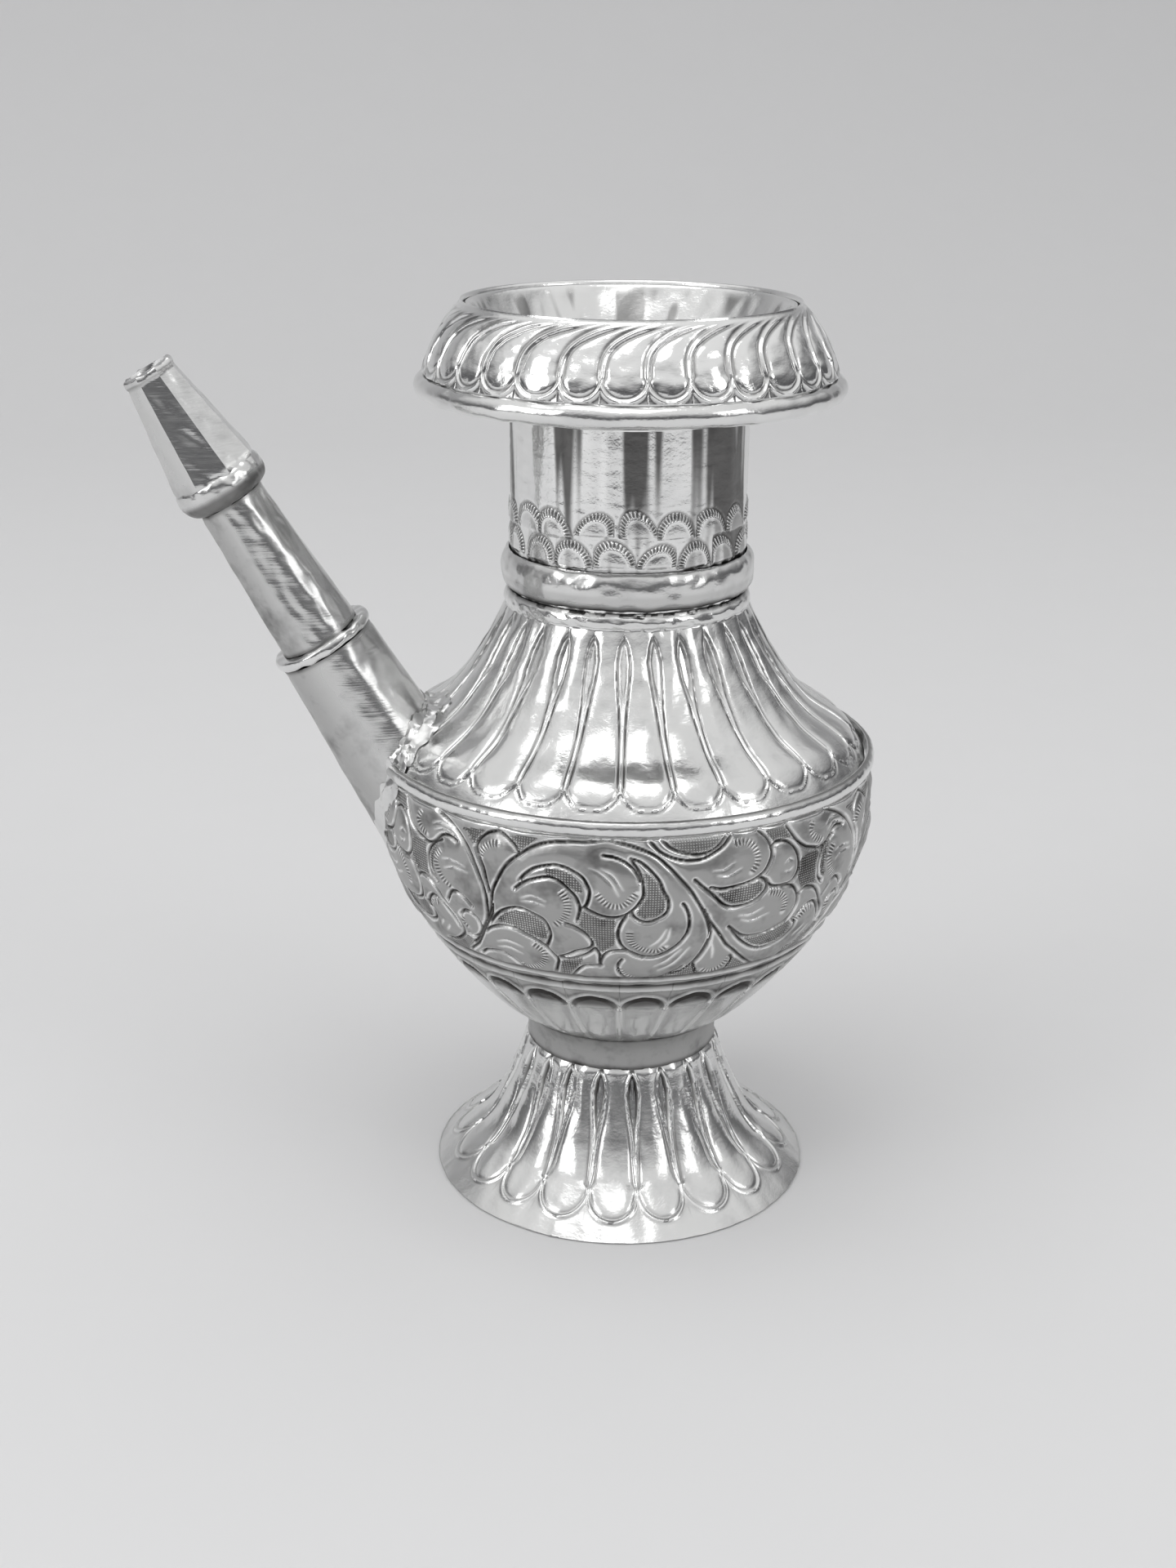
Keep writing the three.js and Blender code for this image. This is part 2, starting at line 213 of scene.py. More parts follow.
def move_to(mesh, angle, radius, height):
    """Puts every vertex at a new angle, radius and height."""
    turn = np.radians(angle)
    spots = np.column_stack([radius * np.sin(turn), -radius * np.cos(turn), height])
    mesh.vertices.foreach_set("co", spots.astype(np.float32).ravel())
    mesh.update()


def chase(mesh, relief, crowd=None):
    """Moves the outside in or out by what relief(angle, radius, height, along) says, in mm."""
    angle, radius, height = spots_of(mesh)
    if crowd is not None:
        angle = crowd(angle, height)
    skin = read(mesh, "skin") > 0.5
    found = relief(angle[skin], radius[skin], height[skin], read(mesh, "along")[skin])
    rise = found.pop("rise")
    radius[skin] += rise * read(mesh, "out_r")[skin]
    height[skin] += rise * read(mesh, "out_z")[skin]
    angle[skin] += found.pop("turn", 0.0)
    move_to(mesh, angle, radius, height)
    for key, values in found.items():
        everywhere = np.zeros(len(mesh.vertices))
        everywhere[skin] = values
        write(mesh, key, everywhere)


# %% [markdown]
# Every finished piece has its place in its mesh, with its object at the origin, so a material that reads
# object coordinates stays put. The jug's axis is moved to its place here, and millimetres become metres.

# %% Putting a piece in place
def stand(name, data):
    """A new object in the scene."""
    added = bpy.data.objects.new(name, data)
    bpy.context.scene.collection.objects.link(added)
    return added


def place(mesh, node, slot="polished_silver", matrix=None, crease=55):
    """Moves a mesh from the jug's own axis to its place and lets it stand for a CAD node."""
    if matrix is not None:
        mesh.transform(matrix)
    mesh.transform(Matrix.Scale(MM, 4) @ Matrix.Translation((AXIS_X, 0.0, 0.0)))
    mesh.polygons.foreach_set("use_smooth", [True] * len(mesh.polygons))
    mesh.set_sharp_from_angle(angle=math.radians(crease))
    piece = stand(mesh.name, mesh)
    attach(piece, "root")
    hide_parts(node)
    piece.data.materials.append(FINISHES[slot])
    mesh.calc_loop_triangles()
    print(piece.name, len(mesh.loop_triangles), "triangles")


def make(node, kind, outside, inside, steps, relief, crowd=None, **placing):
    """Spins, chases and places a piece, which is named after its CAD node and what it is."""
    place(turned(f"{node}_{kind}", outside, inside, steps, relief, crowd), node, **placing)


# %% [markdown]
# ## Shader arithmetic
# A socket wrapped in this small class can be added, subtracted and multiplied like a number, and each sign
# adds its Math node. It keeps the silver's recipe readable, where a screen of nodes wouldn't be.

# %% Sockets as numbers
class Wire:
    """A socket of a material's nodes, with arithmetic."""

    def __init__(self, finish, socket):
        self.finish = finish
        self.socket = socket

    def math(self, operation, *others):
        values = dict(enumerate([self, *others]))
        return self.finish.node("ShaderNodeMath", {"operation": operation}, values)

    def __add__(self, other):
        return self.math("ADD", other)

    __radd__ = __add__

    def __mul__(self, other):
        return self.math("MULTIPLY", other)

    __rmul__ = __mul__

    def __sub__(self, other):
        return self.math("SUBTRACT", other)

    def __rsub__(self, other):
        return (self * -1.0) + other

    def sin(self):
        return self.math("SINE")

    def limited(self):
        return self.math("MINIMUM", 1.0).math("MAXIMUM", 0.0)


class Finish:
    """A material, or the studio's world, that is built from nodes."""

    def __init__(self, name, owner=None, shader="Principled BSDF"):
        self.material = owner or bpy.data.materials.new(name)
        self.material.use_nodes = True
        self.tree = self.material.node_tree
        self.shader = self.tree.nodes[shader]

    def join(self, socket, value):
        if isinstance(value, Wire):
            self.tree.links.new(value.socket, socket)
        else:
            socket.default_value = value

    def feed(self, key, value):
        """Joins a value to a socket of the shader."""
        self.join(self.shader.inputs[key], value)

    def node(self, kind, settings=None, sockets=None, out=0):
        added = self.tree.nodes.new(kind)
        for key, value in (settings or {}).items():
            setattr(added, key, value)
        for key, value in (sockets or {}).items():
            self.join(added.inputs[key], value)
        return Wire(self, added.outputs[out])

    def parts(self, vector):
        """The three numbers of a vector."""
        split = self.node("ShaderNodeSeparateXYZ", {}, {0: vector}).socket.node
        return [Wire(self, socket) for socket in split.outputs]

    def attribute(self, key):
        return self.node("ShaderNodeAttribute", {"attribute_name": key}, out="Fac")

    def noise(self, where, scale, detail=2.0, roughness=0.5):
        sockets = {"Vector": where, "Scale": scale, "Detail": detail, "Roughness": roughness}
        return self.node("ShaderNodeTexNoise", {}, sockets)

    def mix(self, share, colour_a, colour_b):
        """A colour between two others."""
        return self.node("ShaderNodeMix", {"data_type": "RGBA"}, {0: share, 6: colour_a, 7: colour_b}, out=2)


# %% [markdown]
# ## The silver
# Polished silver is nearly white and mirrors the room, so its character is in how the mirror is broken:
# broad dents from raising, a fine drag of the planishing hammer, and dark oxide that the polishing cloth
# leaves behind in the punched lines. The dents are bump, the oxide darkens and dulls the colour, and the
# painted shade, painted highlights and painted dark reflections that some sheets store with it darken or
# lighten it.

# %% Silver finishes
def silver(name, shade, gloss, dent, drag, cloud):
    """Silver with hammer dents, fine drag marks, oxide in its recesses, and painted shade and highlights."""
    finish = Finish(name)
    where = finish.node("ShaderNodeTexCoord", out="Object")
    x, y, z = finish.parts(where)
    turn = (x - AXIS_X * MM).math("ARCTAN2", y * -1.0)
    around = finish.node("ShaderNodeCombineXYZ", {}, {0: turn * 24.0, 1: z * 1300.0, 2: 0.0})
    dents = finish.noise(where, 230.0, 1.5)
    ticks = finish.noise(around, 1.0, 3.0, 0.6)
    grain = finish.noise(where, 1900.0, 2.0)
    clouds = finish.noise(where, 90.0, 4.0, 0.65)
    patches = ((clouds - 0.5) * 5.0).limited()
    recess = finish.attribute("recess")
    worn = finish.attribute("worn")
    teeth = (finish.attribute("teeth_phase") * math.tau).sin() * finish.attribute("teeth_mask")
    hatch_mask = finish.attribute("hatch_mask")
    hatch = (turn * 576.0).sin().math("MINIMUM", (z * 13090.0).sin()) * hatch_mask
    rise = dents * dent + ticks * drag + grain * 0.012 + teeth * 0.12 + hatch * 0.08
    bump = finish.node("ShaderNodeBump", {}, {"Strength": 1.0, "Distance": 0.001, "Height": rise})
    # Painted highlight and shade: each punch of the teeth is lighter on one half and darker on the other
    punch_light_and_hatch = teeth * -0.5 - hatch * 0.3
    # Oxide, together with the painted shade, painted highlights and painted dark reflections from the
    # sheets' values
    dark_share = (recess + punch_light_and_hatch + patches * cloud + worn * (patches * 0.14 + 0.3)).limited()
    bright = (shade, shade, shade * 0.985, 1.0)
    dull = (shade * 0.96, shade * 0.965, shade * 0.97, 1.0)
    colour = finish.mix(dark_share, finish.mix(clouds, bright, dull), (0.055, 0.052, 0.05, 1.0))
    finish.feed("Base Color", colour)
    finish.feed("Roughness", worn * 0.06 + clouds * 0.06 + dark_share * 0.22 + gloss)
    finish.feed("Normal", bump)
    finish.feed("Metallic", 1.0)
    return finish.material


FINISHES = {
    "polished_silver": silver("polished_silver", 0.9, 0.13, 0.1, 0.05, 0.06),
    "worn_silver": silver("worn_silver", 0.8, 0.26, 0.14, 0.04, 0.16),
}
print("finishes:", list(FINISHES))

# %% [markdown]
# ## Drawing with a punch
# A chased line is a shallow groove with the metal raised beside it. All the chasing below is drawn as
# lines on the unrolled sheet, in millimetres, and a vertex rises or sinks by its distance to the nearest
# line. A repeated flute or petal is drawn once, and the angle round the jug is folded into one repeat.

# %% Punch helpers
def near(x, y, line):
    """How far each point is from a drawn line, and how far along the line its nearest spot is."""
    line = np.array(line, float)
    best = np.full(len(x), 1e9)
    spot = np.zeros(len(x))
    walked = 0.0
    for a, b in zip(line, line[1:]):
        span = b - a
        length = math.hypot(*span)
        share = np.clip(((x - a[0]) * span[0] + (y - a[1]) * span[1]) / (length * length), 0.0, 1.0)
        gap = np.hypot(x - a[0] - share * span[0], y - a[1] - share * span[1])
        closer = gap < best
        best[closer] = gap[closer]
        spot[closer] = walked + share[closer] * length
        walked += length
    return best, spot


def hump(distance, width):
    """A soft ridge of height one."""
    return np.exp(-((distance / width) ** 2))


def ease(value, low, high):
    """Zero below low, one above high, and smooth between."""
    share = np.clip((value - low) / (high - low), 0.0, 1.0)
    return share * share * (3.0 - 2.0 * share)


def swelling(distance, start, width):
    """A rise that begins at a distance from a line and levels off at one."""
    return 1.0 - np.exp(-np.maximum(distance - start, 0.0) / width)


def fold(angle, repeat, start):
    """The share of a repeat from the nearest start, from -0.5 to 0.5."""
    turn = (angle - start) / repeat
    return turn - np.round(turn)


def level(wanted, height, along):
    """How far along an outline one height is."""
    order = np.argsort(height)
    return np.interp(wanted, height[order], along[order])


def ends(middle, pitch, along, joint, tip, power=2.0, root=2.0):
    """The distance from a row of rounded petal ends. The middle runs from 0 at a joint to 1 at a tip."""
    def drop(share):
        return (1.0 - (1.0 - np.clip(share, 0.0, 1.0)) ** power) ** (1.0 / root)

    here = drop(middle)
    slope = (joint - tip) * (drop(middle + 0.02) - here) / (0.01 * pitch)
    return (along - joint + (joint - tip) * here) / np.sqrt(1.0 + slope ** 2)


def hammered(seed, wide, tall, size):
    """Soft uneven dents: slow waves added up, each a whole number of times round the jug."""
    rng = np.random.default_rng(seed)
    rounds = np.round(rng.normal(0.0, 200.0 / wide, 36))
    climbs = rng.normal(0.0, 4.0 / tall, 36)
    phases = rng.uniform(0.0, math.tau, 36)

    def dents(angle, height):
        turn = np.radians(angle)
        return size / 6.0 * sum(np.cos(k * turn + c * height + p) for k, c, p in zip(rounds, climbs, phases))

    return dents


# %% [markdown]
# Petals, flutes and lobes stand in rows. A smith sets a row out by eye, so each repeat is turned a little by
# its own amount. The mesh's columns are drawn towards the joints between the repeats, where thin lines are.

# %% A row of petals, flutes or lobes
class Row:
    """Equal repeats round the jug, whose joints start at an angle of the photograph's view."""

    def __init__(self, count, joint_at, seed, sway, pull, lean=None):
        self.repeat = 360.0 / count
        self.start = from_photo(joint_at)
        self.pull = pull
        self.lean = lean
        turns = np.random.default_rng(seed).uniform(-sway, sway, count)
        joints = (self.start + np.arange(count) * 360.0 / count) % 360.0
        self.joints = joints[np.argsort(joints)]
        self.turns = turns[np.argsort(joints)]

    def sway(self, angle):
        """A small random turn for each repeat, in degrees, that fades from one joint to the next."""
        return np.interp(angle % 360.0, self.joints, self.turns, period=360.0)

    def share(self, angle):
        """How far each point is from the nearest joint, as a share of a repeat."""
        return np.abs(fold(angle, self.repeat, self.start))

    def crowd(self, angle, height):
        """Draws the columns of a mesh towards the joints, so that thin lines get more of the vertices."""
        share = fold(angle, self.repeat, self.start)
        moved = angle - self.pull * self.repeat * np.sin(math.tau * share) / math.tau
        return moved if self.lean is None else moved + self.lean(height)

    def measure(self, angle, radius, height, along, joint_z, tip_z, power=2.0, root=2.0):
        """The gap to the nearest joint, the level of the joints, and the gap to the rounded ends, in mm."""
        share = self.share(angle)
        pitch = np.radians(self.repeat) * radius
        joint = level(joint_z, height, along)
        tip = level(tip_z, height, along)
        round_end = ends(2.0 * share, pitch, along, joint, tip, power, root)
        return share * pitch, joint, round_end


# %% [markdown]
# ## Foot
# The foot is a bell of sheet with twenty hanging petals. Each petal is a soft pillow inside a thin welt
# that swings round its lower end, and a pointed hollow opens between two petals near the collar.

# %% Foot
HOLLOW_Z = [7.0, 9.5, 12.5, 15.0, 19.0, 22.5, 25.0, 26.7]
HOLLOW_WIDE = [0.0, 0.2, 0.26, 0.45, 1.0, 1.25, 0.9, 0.03]
foot_row = Row(20, 6.3, seed=4, sway=0.7, pull=0.55)
foot_dents = hammered(5, 7.0, 6.0, 0.06)
border_marks = hammered(6, 5.0, 30.0, 1.0)


def foot_relief(angle, radius, height, along):
    side, joint, round_end = foot_row.measure(angle, radius, height, along, joint_z=7.0, tip_z=3.0)
    upper = ease(along, joint - 1.0, joint + 1.4)
    edge = upper * (side - np.interp(height, HOLLOW_Z, HOLLOW_WIDE)) + (1.0 - upper) * round_end
    collar = ease(FOOT_TOP - height, 0.0, 1.1)
    welt = hump(edge, 0.26 + 0.08 * upper) * collar
    # A small lump at each joint, also made lighter as a painted highlight
    joint_lump_glint = hump(np.hypot(side, along - joint + 0.3), 0.65)
    hollow = ease(-edge, 0.0, 0.9) * ease(height, 10.0, 15.0)
    rib = hump(side, 0.26) * ease(height, 14.0, 18.0) * ease(26.0 - height, 0.0, 3.0)
    shade = hump(edge - 0.66, 0.22) * collar * ease(20.0 - height, 0.0, 8.0)
    streak = ease(border_marks(angle, height), 1.3, 2.0) * ease(2.6 - height, 0.0, 1.2)
    rise = -0.35 + 0.55 * swelling(edge, 0.35, 1.2) + (0.32 + 0.14 * upper) * welt - 0.7 * hollow
    rise = rise + 0.2 * rib - 0.1 * shade + 0.3 * joint_lump_glint
    rise = rise + foot_dents(angle, height) + 0.1 * streak - 0.3 * (1.0 - collar)
    below = ease(joint - along, 0.5, 1.5)
    top = hollow * (1.0 - rib) * (0.7 + 0.5 * ease(height, 19.0, 25.0))
    outer = 0.15 * hump(edge + 0.55, 0.25) * below
    recess = (0.3 + 0.2 * upper) * shade + top + outer - 0.2 * welt - 0.5 * joint_lump_glint
    recess = recess * ease(height, 1.0, 3.0)
    return {"rise": rise, "recess": recess, "turn": foot_row.sway(angle), "worn": 0.45}


foot_inside = inset(foot_line, SHEET)
foot_inside[-1] = (35.6, 0.0)
foot_outside = np.vstack([[(36.9, 0.0)], foot_line])
make("foot_flare", "chased", foot_outside, foot_inside, 720, foot_relief, foot_row.crowd)

# %% [markdown]
# ## Collar
# A plain strip of duller silver joins the foot to the bowl. It is a short spun strip whose two edges are
# left square where the solder meets them.

# %% Collar
collar_line = even(bend((18.6, FOOT_TOP), (18.3, 30.2), (18.7, 32.3), (20.4, COLLAR_TOP)), 0.35)
collar_inside = inset(collar_line, SHEET, 1.5)
collar_dents = hammered(8, 17.0, 20.0, 0.08)


def collar_relief(angle, radius, height, along):
    edge = np.minimum(height - FOOT_TOP, COLLAR_TOP - height)
    rise = collar_dents(angle, height) * ease(edge, 0.0, 0.8)
    return {"rise": rise, "recess": 0.18 + 0.4 * hump(edge, 0.5), "worn": 1.0}


make("foot_collar", "strip", collar_line, collar_inside, 288, collar_relief, slot="worn_silver")

# %% [markdown]
# ## Bowl
# The lower half of the body is one raised sheet. Its underside has a ring of rounded petals, and its side
# carries the scrollwork. It is spun in two pieces that meet in a groove, because the scrollwork needs far
# more vertices than the rest.

# %% Underside petals
SPLIT_Z = 54.3
RING_Z = 52.9
split_at = int(np.searchsorted(lower_line[:, 1], SPLIT_Z))
under_line = even(lower_line[:split_at + 1], 0.36)
under_row = Row(24, -1.0, seed=14, sway=0.6, pull=0.5)
under_dents = hammered(15, 6.0, 6.0, 0.05)


def under_relief(angle, radius, height, along):
    side, joint, round_end = under_row.measure(angle, radius, height, along, joint_z=47.2, tip_z=51.3)
    lower = ease(joint - along, -0.8, 0.5)
    edge = lower * (side - 0.1) - (1.0 - lower) * round_end
    bottom = ease(height, COLLAR_TOP, COLLAR_TOP + 1.2)
    welt = hump(edge, 0.34)
    second = hump(edge - 1.5, 0.34) * (1.0 - lower)
    # Painted shade and painted dark reflection: each petal is made dark under its arch and over its upper
    # part
    arch_shade_and_reflection = np.maximum(1.0 - ease(edge, 1.3, 2.8), 0.8 * ease(height, 47.7, 48.7))
    shade = ease(edge, 0.3, 0.7) * arch_shade_and_reflection * (1.0 - 0.75 * lower)
    ridges = hump(height - RING_Z, 0.4) + hump(height - SPLIT_Z - 1.3, 0.4)
    rise = -0.5 + 0.4 * swelling(edge, 0.4, 1.0) + 0.36 * welt + 0.2 * second - 0.18 * shade + 0.36 * ridges
    rise = rise * bottom + under_dents(angle, height)
    recess = 0.55 * shade + 0.3 * hump(edge + 0.6, 0.3) + 0.5 * hump(height - 54.1, 0.45)
    recess = recess + 0.4 * (1.0 - bottom) - 0.4 * hump(height - RING_Z, 0.3) - 0.3 * welt
    # Painted dark reflection: the underside is made darker towards the scroll band
    worn = 0.3 + 1.3 * ease(height, 46.0, 50.5)
    return {"rise": rise, "recess": recess, "turn": under_row.sway(angle), "worn": worn}


bottom_inside = [(17.5, 34.2), (0.0, 31.2)]
bottom_outside = [(0.0, 30.3), (13.2, 30.7), (18.9, COLLAR_TOP)]
under_inside = np.vstack([inset(under_line, SHEET)[:-1], bottom_inside, bottom_outside])
make("belly_bowl", "petals", under_line, under_inside, 720, under_relief, under_row.crowd)

# %% [markdown]
# ## Scrollwork
# Seven leafy scrolls run round the belly, and two kinds take turns: a tall arch with its curls inside, and
# a looser spray. A leaf fills what is left under the spout. Each is drawn once as lines on the unrolled
# band, read from the photograph with the jug's round shape taken out, and then repeated. The drawing
# has four kinds of mark. Outlines are deep V-shaped lines, and the metal swells between them. Accents are
# short strokes inside a leaf. Teeth are rows of short punches along a curl. Ground is the sunken part that
# is crosshatched.

# %% The drawn scrolls
ARCH_UNITS = 4.2
SPRAY_UNITS = 4.035
MM_PER_DEGREE = 0.772
DRAWING_TOP = 4.286

ARCH = {
    "outlines": [
        "27,62 29,54 34,43 41,31 50,22 60,14 72,9 86,7 100,6 112,4 122,6 134,10 146,16 156,26 165,37 172,46",
        "172,46 178,57 183,67 187,78 189,88 187,98 184,106 179,116 172,123 160,128",
        "27,62 25,72 20,83 14,93 8,102 0,113", "27,66 25,77 18,89 11,100 4,108 -4,116",
        "129,18 136,21 143,28 149,36 152,44 155,50 156,57 154,63 149,67 143,70 137,69 132,65 130,61",
        "130,20 134,27 137,34 138,41 138,47 136,52 133,57 128,62 125,64 118,66 110,65 103,62 97,58",
        "110,16 117,17 124,20 130,25 134,31 136,36",
        "51,41 55,36 61,31 68,28 76,26 83,27 90,30 96,34 99,39 101,45 100,52 98,57 94,60",
        "47,49 51,45 57,41 64,38 72,36 79,38 85,43 90,48 93,54 94,61 92,70",
        "83,74 89,76 95,80 99,85 102,91 101,96 95,99 90,101 84,105 76,109",
        "22,86 28,78 35,71 43,67 52,66 60,69 67,73 70,80 71,87 69,94 67,99",
        "15,97 22,91 30,87 38,86 45,87 52,90 59,94 65,99 70,106 74,113 72,121 70,128",
        "0,126 8,120 17,117 26,117 33,121 38,126 42,131", "16,23 18,17 23,11 29,8 34,7 40,10 46,15 50,21",
        "16,23 19,31 22,38 24,47 26,56",
        "126,65 123,71 121,78 121,85 123,92 127,97 133,101 139,104 147,105 155,102 162,97 167,91 171,83",
        "171,83 172,75 171,66 168,58 166,55", "107,116 108,109 112,102 119,98 127,98 133,102 139,105",
        "124,108 121,114 121,121 124,127 130,132 138,135 147,134 155,130 163,125 172,118",
        "76,110 84,110 92,107 98,103 104,97", "83,132 88,124 94,118 100,116 108,115",
        "104,97 107,104 107,112",
    ],
    "accents": [
        "101,26 108,29 116,37 121,46", "109,26 117,31 124,42", "52,55 60,52 70,55", "52,58 60,57 69,59",
        "25,103 35,100 47,103", "24,109 34,107 45,111", "144,92 150,87 155,76", "151,93 156,86 158,75",
        "149,114 159,108 168,98", "152,119 164,111 174,96",
    ],
    "teeth": [
        "81,45 85,51 86,58 85,64 81,71 76,75", "106,45 110,50 115,54 121,55 126,53 130,48 133,44",
        "129,77 130,86 135,93 143,97 150,98 156,94", "56,98 63,104 64,110 61,117 54,123 45,126 41,123",
        "121,118 125,124 131,128 139,130 149,130", "20,30 21,25 25,20 30,17 35,16",
    ],
    "ground": [
        "4,11 23,8 18,15 15,21 11,17", "42,8 64,7 56,14 50,20 46,15",
        "70,30 80,29 89,32 95,39 96,46 92,46 85,41 77,37 71,36",
        "137,29 143,31 150,40 154,50 153,59 148,65 139,66 134,63 135,57 138,50 140,40",
        "30,80 37,73 45,69 53,68 61,71 67,76 69,84 68,92 60,92 50,87 40,84 33,84",
        "96,61 108,67 119,68 118,77 119,86 118,92 112,98 107,101 105,93 102,86 96,79 93,72",
        "77,113 88,110 94,108 92,115 86,123 82,131 75,131 75,120",
        "158,130 170,124 180,116 186,126 190,134 160,135",
    ],
}
SPRAY = {
    "outlines": [
        "48,60 50,66 56,75 64,87 70,96 77,103 87,113 96,121 106,128",
        "40,35 46,41 53,48 60,56 66,60 73,61 80,60 87,57 92,52 94,47 91,42 86,40",
        "51,42 58,44 66,44 75,43 83,41 90,37 94,32 97,25 96,18 93,11 87,5",
        "18,4 24,10 32,14 41,16 50,15 57,11 62,5", "10,5 16,12 24,17 34,20 44,20 52,17 60,12 66,5",
        "96,19 101,16 108,17 114,21 119,28 121,36 120,44 115,50 107,51 98,49 93,43",
        "68,78 73,83 79,88 86,91 95,92 104,91 112,89 119,85 123,79 125,72 124,64 120,57 115,53 108,52",
        "72,83 78,91 86,99 95,105 105,108 115,108 124,105 130,100 132,94 130,89 126,86",
        (
            "124,64 128,61 134,60 140,62 146,67 150,73 155,80 "
            "160,87 163,95 162,103 158,108 150,114 142,118 134,120"
        ),
        "128,88 131,82 137,77 143,76 149,79 154,85 158,92 160,98",
        "157,25 150,29 145,34 142,41 142,48 144,55 149,60",
        "111,6 115,13 120,20 127,26 135,29 143,31 150,28 156,22 163,20 171,22",
        "156,74 161,66 167,63 174,66 180,72",
        (
            "150,4 158,7 166,11 173,16 179,22 185,31 190,42 "
            "193,52 194,62 193,74 190,84 185,94 179,103 172,112 160,122"
        ),
        "50,64 53,72 55,81 55,90 53,98 50,106 47,112 49,119 52,127 55,132",
        "76,109 79,113 78,119 75,126 70,131", "166,84 171,79 177,78 182,82 184,90 181,98 174,103 167,102",
    ],
    "accents": [
        "52,29 59,29 67,25", "55,33 63,34 72,30", "74,68 83,69 92,65", "76,72 86,75 98,71",
        "107,33 111,31 115,33", "107,39 111,40 114,38", "135,105 139,101 143,97",
        "142,107 146,103 149,100", "159,38 168,37 179,39", "160,45 170,42 181,43", "148,15 156,12 168,13",
        "150,19 158,16 170,18", "57,90 59,98 60,106",
    ],
    "teeth": [
        "67,11 76,11 83,18 84,27 80,34", "96,53 106,57 111,65 111,74",
        "157,32 152,40 154,49 158,55 164,60", "134,9 132,15 135,21 142,25",
        "54,119 60,121 66,120 72,116 76,109", "129,92 133,86 138,81 144,80", "172,94 168,90 168,85",
    ],
    "ground": [
        "21,4 61,4 56,10 49,14 41,15 32,13 25,9",
        "56,47 68,46 80,44 87,43 90,47 89,52 84,56 76,58 68,57 62,53",
        "123,34 130,31 140,32 140,42 140,52 141,58 134,58 127,59 123,52 121,46",
        "93,6 108,6 114,15 108,15 98,15 95,11",
        "82,92 96,94 110,92 122,87 126,92 125,100 118,104 106,106 94,102",
        "130,122 142,119 154,112 164,104 172,108 160,120 148,132 128,132",
        "80,112 90,120 102,130 80,132 77,124", "145,34 150,30 154,28 150,36 148,46 150,55 146,54 144,46",
    ],
}
LEAF = {
    "outlines": [
        "43,4 40,22 44,45 40,70 44,95 42,130", "40,72 28,62 14,58 6,46 10,32 22,28 32,36 33,50",
        "43,47 56,42 70,34 80,22 74,10 62,8 54,16 52,28", "42,100 30,94 16,98 6,110 12,122 24,123 32,114",
        "42,80 54,74 70,74 82,84 80,98 68,104 56,98 51,90", "41,24 30,20 18,12 10,4",
        "43,112 56,112 70,120 82,130",
    ],
    "accents": [
        "16,40 22,38 27,44", "60,20 66,18 71,22", "60,86 68,84 74,90", "16,110 22,108 27,112",
        "36,84 37,92 36,98",
    ],
    "teeth": [
        "8,36 22,28 33,44", "80,22 74,10 56,12", "82,84 80,98 62,102", "6,110 12,122 28,119",
    ],
    "ground": [
        "46,52 62,46 82,36 88,66 70,66 48,68", "2,66 12,64 26,70 36,78 36,88 16,88 2,96",
        "46,6 58,4 52,12 46,30",
    ],
}
# Each drawing with its units in a mm, the angle of its left side, and the turns at which it is repeated
SCROLLS = (
    (ARCH, ARCH_UNITS, -38.25, (0.0, 96.2, 192.4)),
    (SPRAY, SPRAY_UNITS, 2.46, (-96.2, 0.0, 96.2, 192.4)),
    (LEAF, SPRAY_UNITS, 256.5, (0.0,)),
)
print("marks in one arch:", sum(len(marks) for marks in ARCH.values()))


# %% Reading the drawing
def drawn(text, units):
    """The points of one drawn line in mm: right along the band, and down from the top of the drawing."""
    pairs = [tuple(map(float, pair.split(","))) for pair in text.split()]
    return np.array([(x / units, DRAWING_TOP + y / units) for x, y in pairs])


def flowing(points, per=5):
    """The same line drawn through its points without corners."""
    points = np.array(points)
    slopes = np.gradient(points, axis=0)
    smooth = [points[:1]]
    for a, b, slope_a, slope_b in zip(points, points[1:], slopes, slopes[1:]):
        corners = [Vector((*c, 0.0)) for c in (a, a + slope_a / 3.0, b - slope_b / 3.0, b)]
        smooth.append(np.array([(p.x, p.y) for p in interpolate_bezier(*corners, per + 1)])[1:])
    return np.vstack(smooth)


def close_to(x, y, line, reach):
    """Which points are within reach of a line's box, to save time."""
    low = line.min(axis=0) - reach
    high = line.max(axis=0) + reach
    return np.flatnonzero((x > low[0]) & (x < high[0]) & (y > low[1]) & (y < high[1]))


def within(x, y, corners):
    """Which points lie inside a closed outline."""
    inside = np.zeros(len(x), bool)
    for a, b in zip(corners, np.roll(corners, -1, axis=0)):
        crosses = (a[1] > y) != (b[1] > y)
        reach = a[0] + (y - a[1]) * (b[0] - a[0]) / (b[1] - a[1] + 1e-12)
        inside ^= crosses & (x < reach)
    return inside


# %% [markdown]
# The band is chased in the order a smith works: outlines first, then the ground is pushed down, then the
# accents and the teeth. The teeth are too fine for vertices, so their place along the row and their mask
# are stored on the vertices, and the silver's bump draws them. The finished band has so many triangles that
# it is cut into a front and a back half.

# %% Scroll band
BAND_Z = [54.0, 55.0, 60.0, 65.0, 70.0, 75.0, 80.0, 85.0, SEAM]
BAND_DOWN = [38.2, 37.1, 31.4, 26.0, 20.7, 15.6, 10.7, 5.5, 3.2]
EDGE_REACH = 2.4
LOW_RIB = 55.7
HIGH_RIB = 85.3
band_line = even(lower_line[split_at:], 0.26)
band_dents = hammered(55, 6.0, 5.0, 0.05)
glint_waves = hammered(56, 7.0, 4.0, 1.0)


def measured(text, units, x, y, reach):
    """Which points are close to a drawn line, their distance and spot along it, and its length."""
    line = flowing(drawn(text, units))
    picked = close_to(x, y, line, reach)
    distance, spot = near(x[picked], y[picked], line)
    return picked, distance, spot, np.hypot(*np.diff(line, axis=0).T).sum()


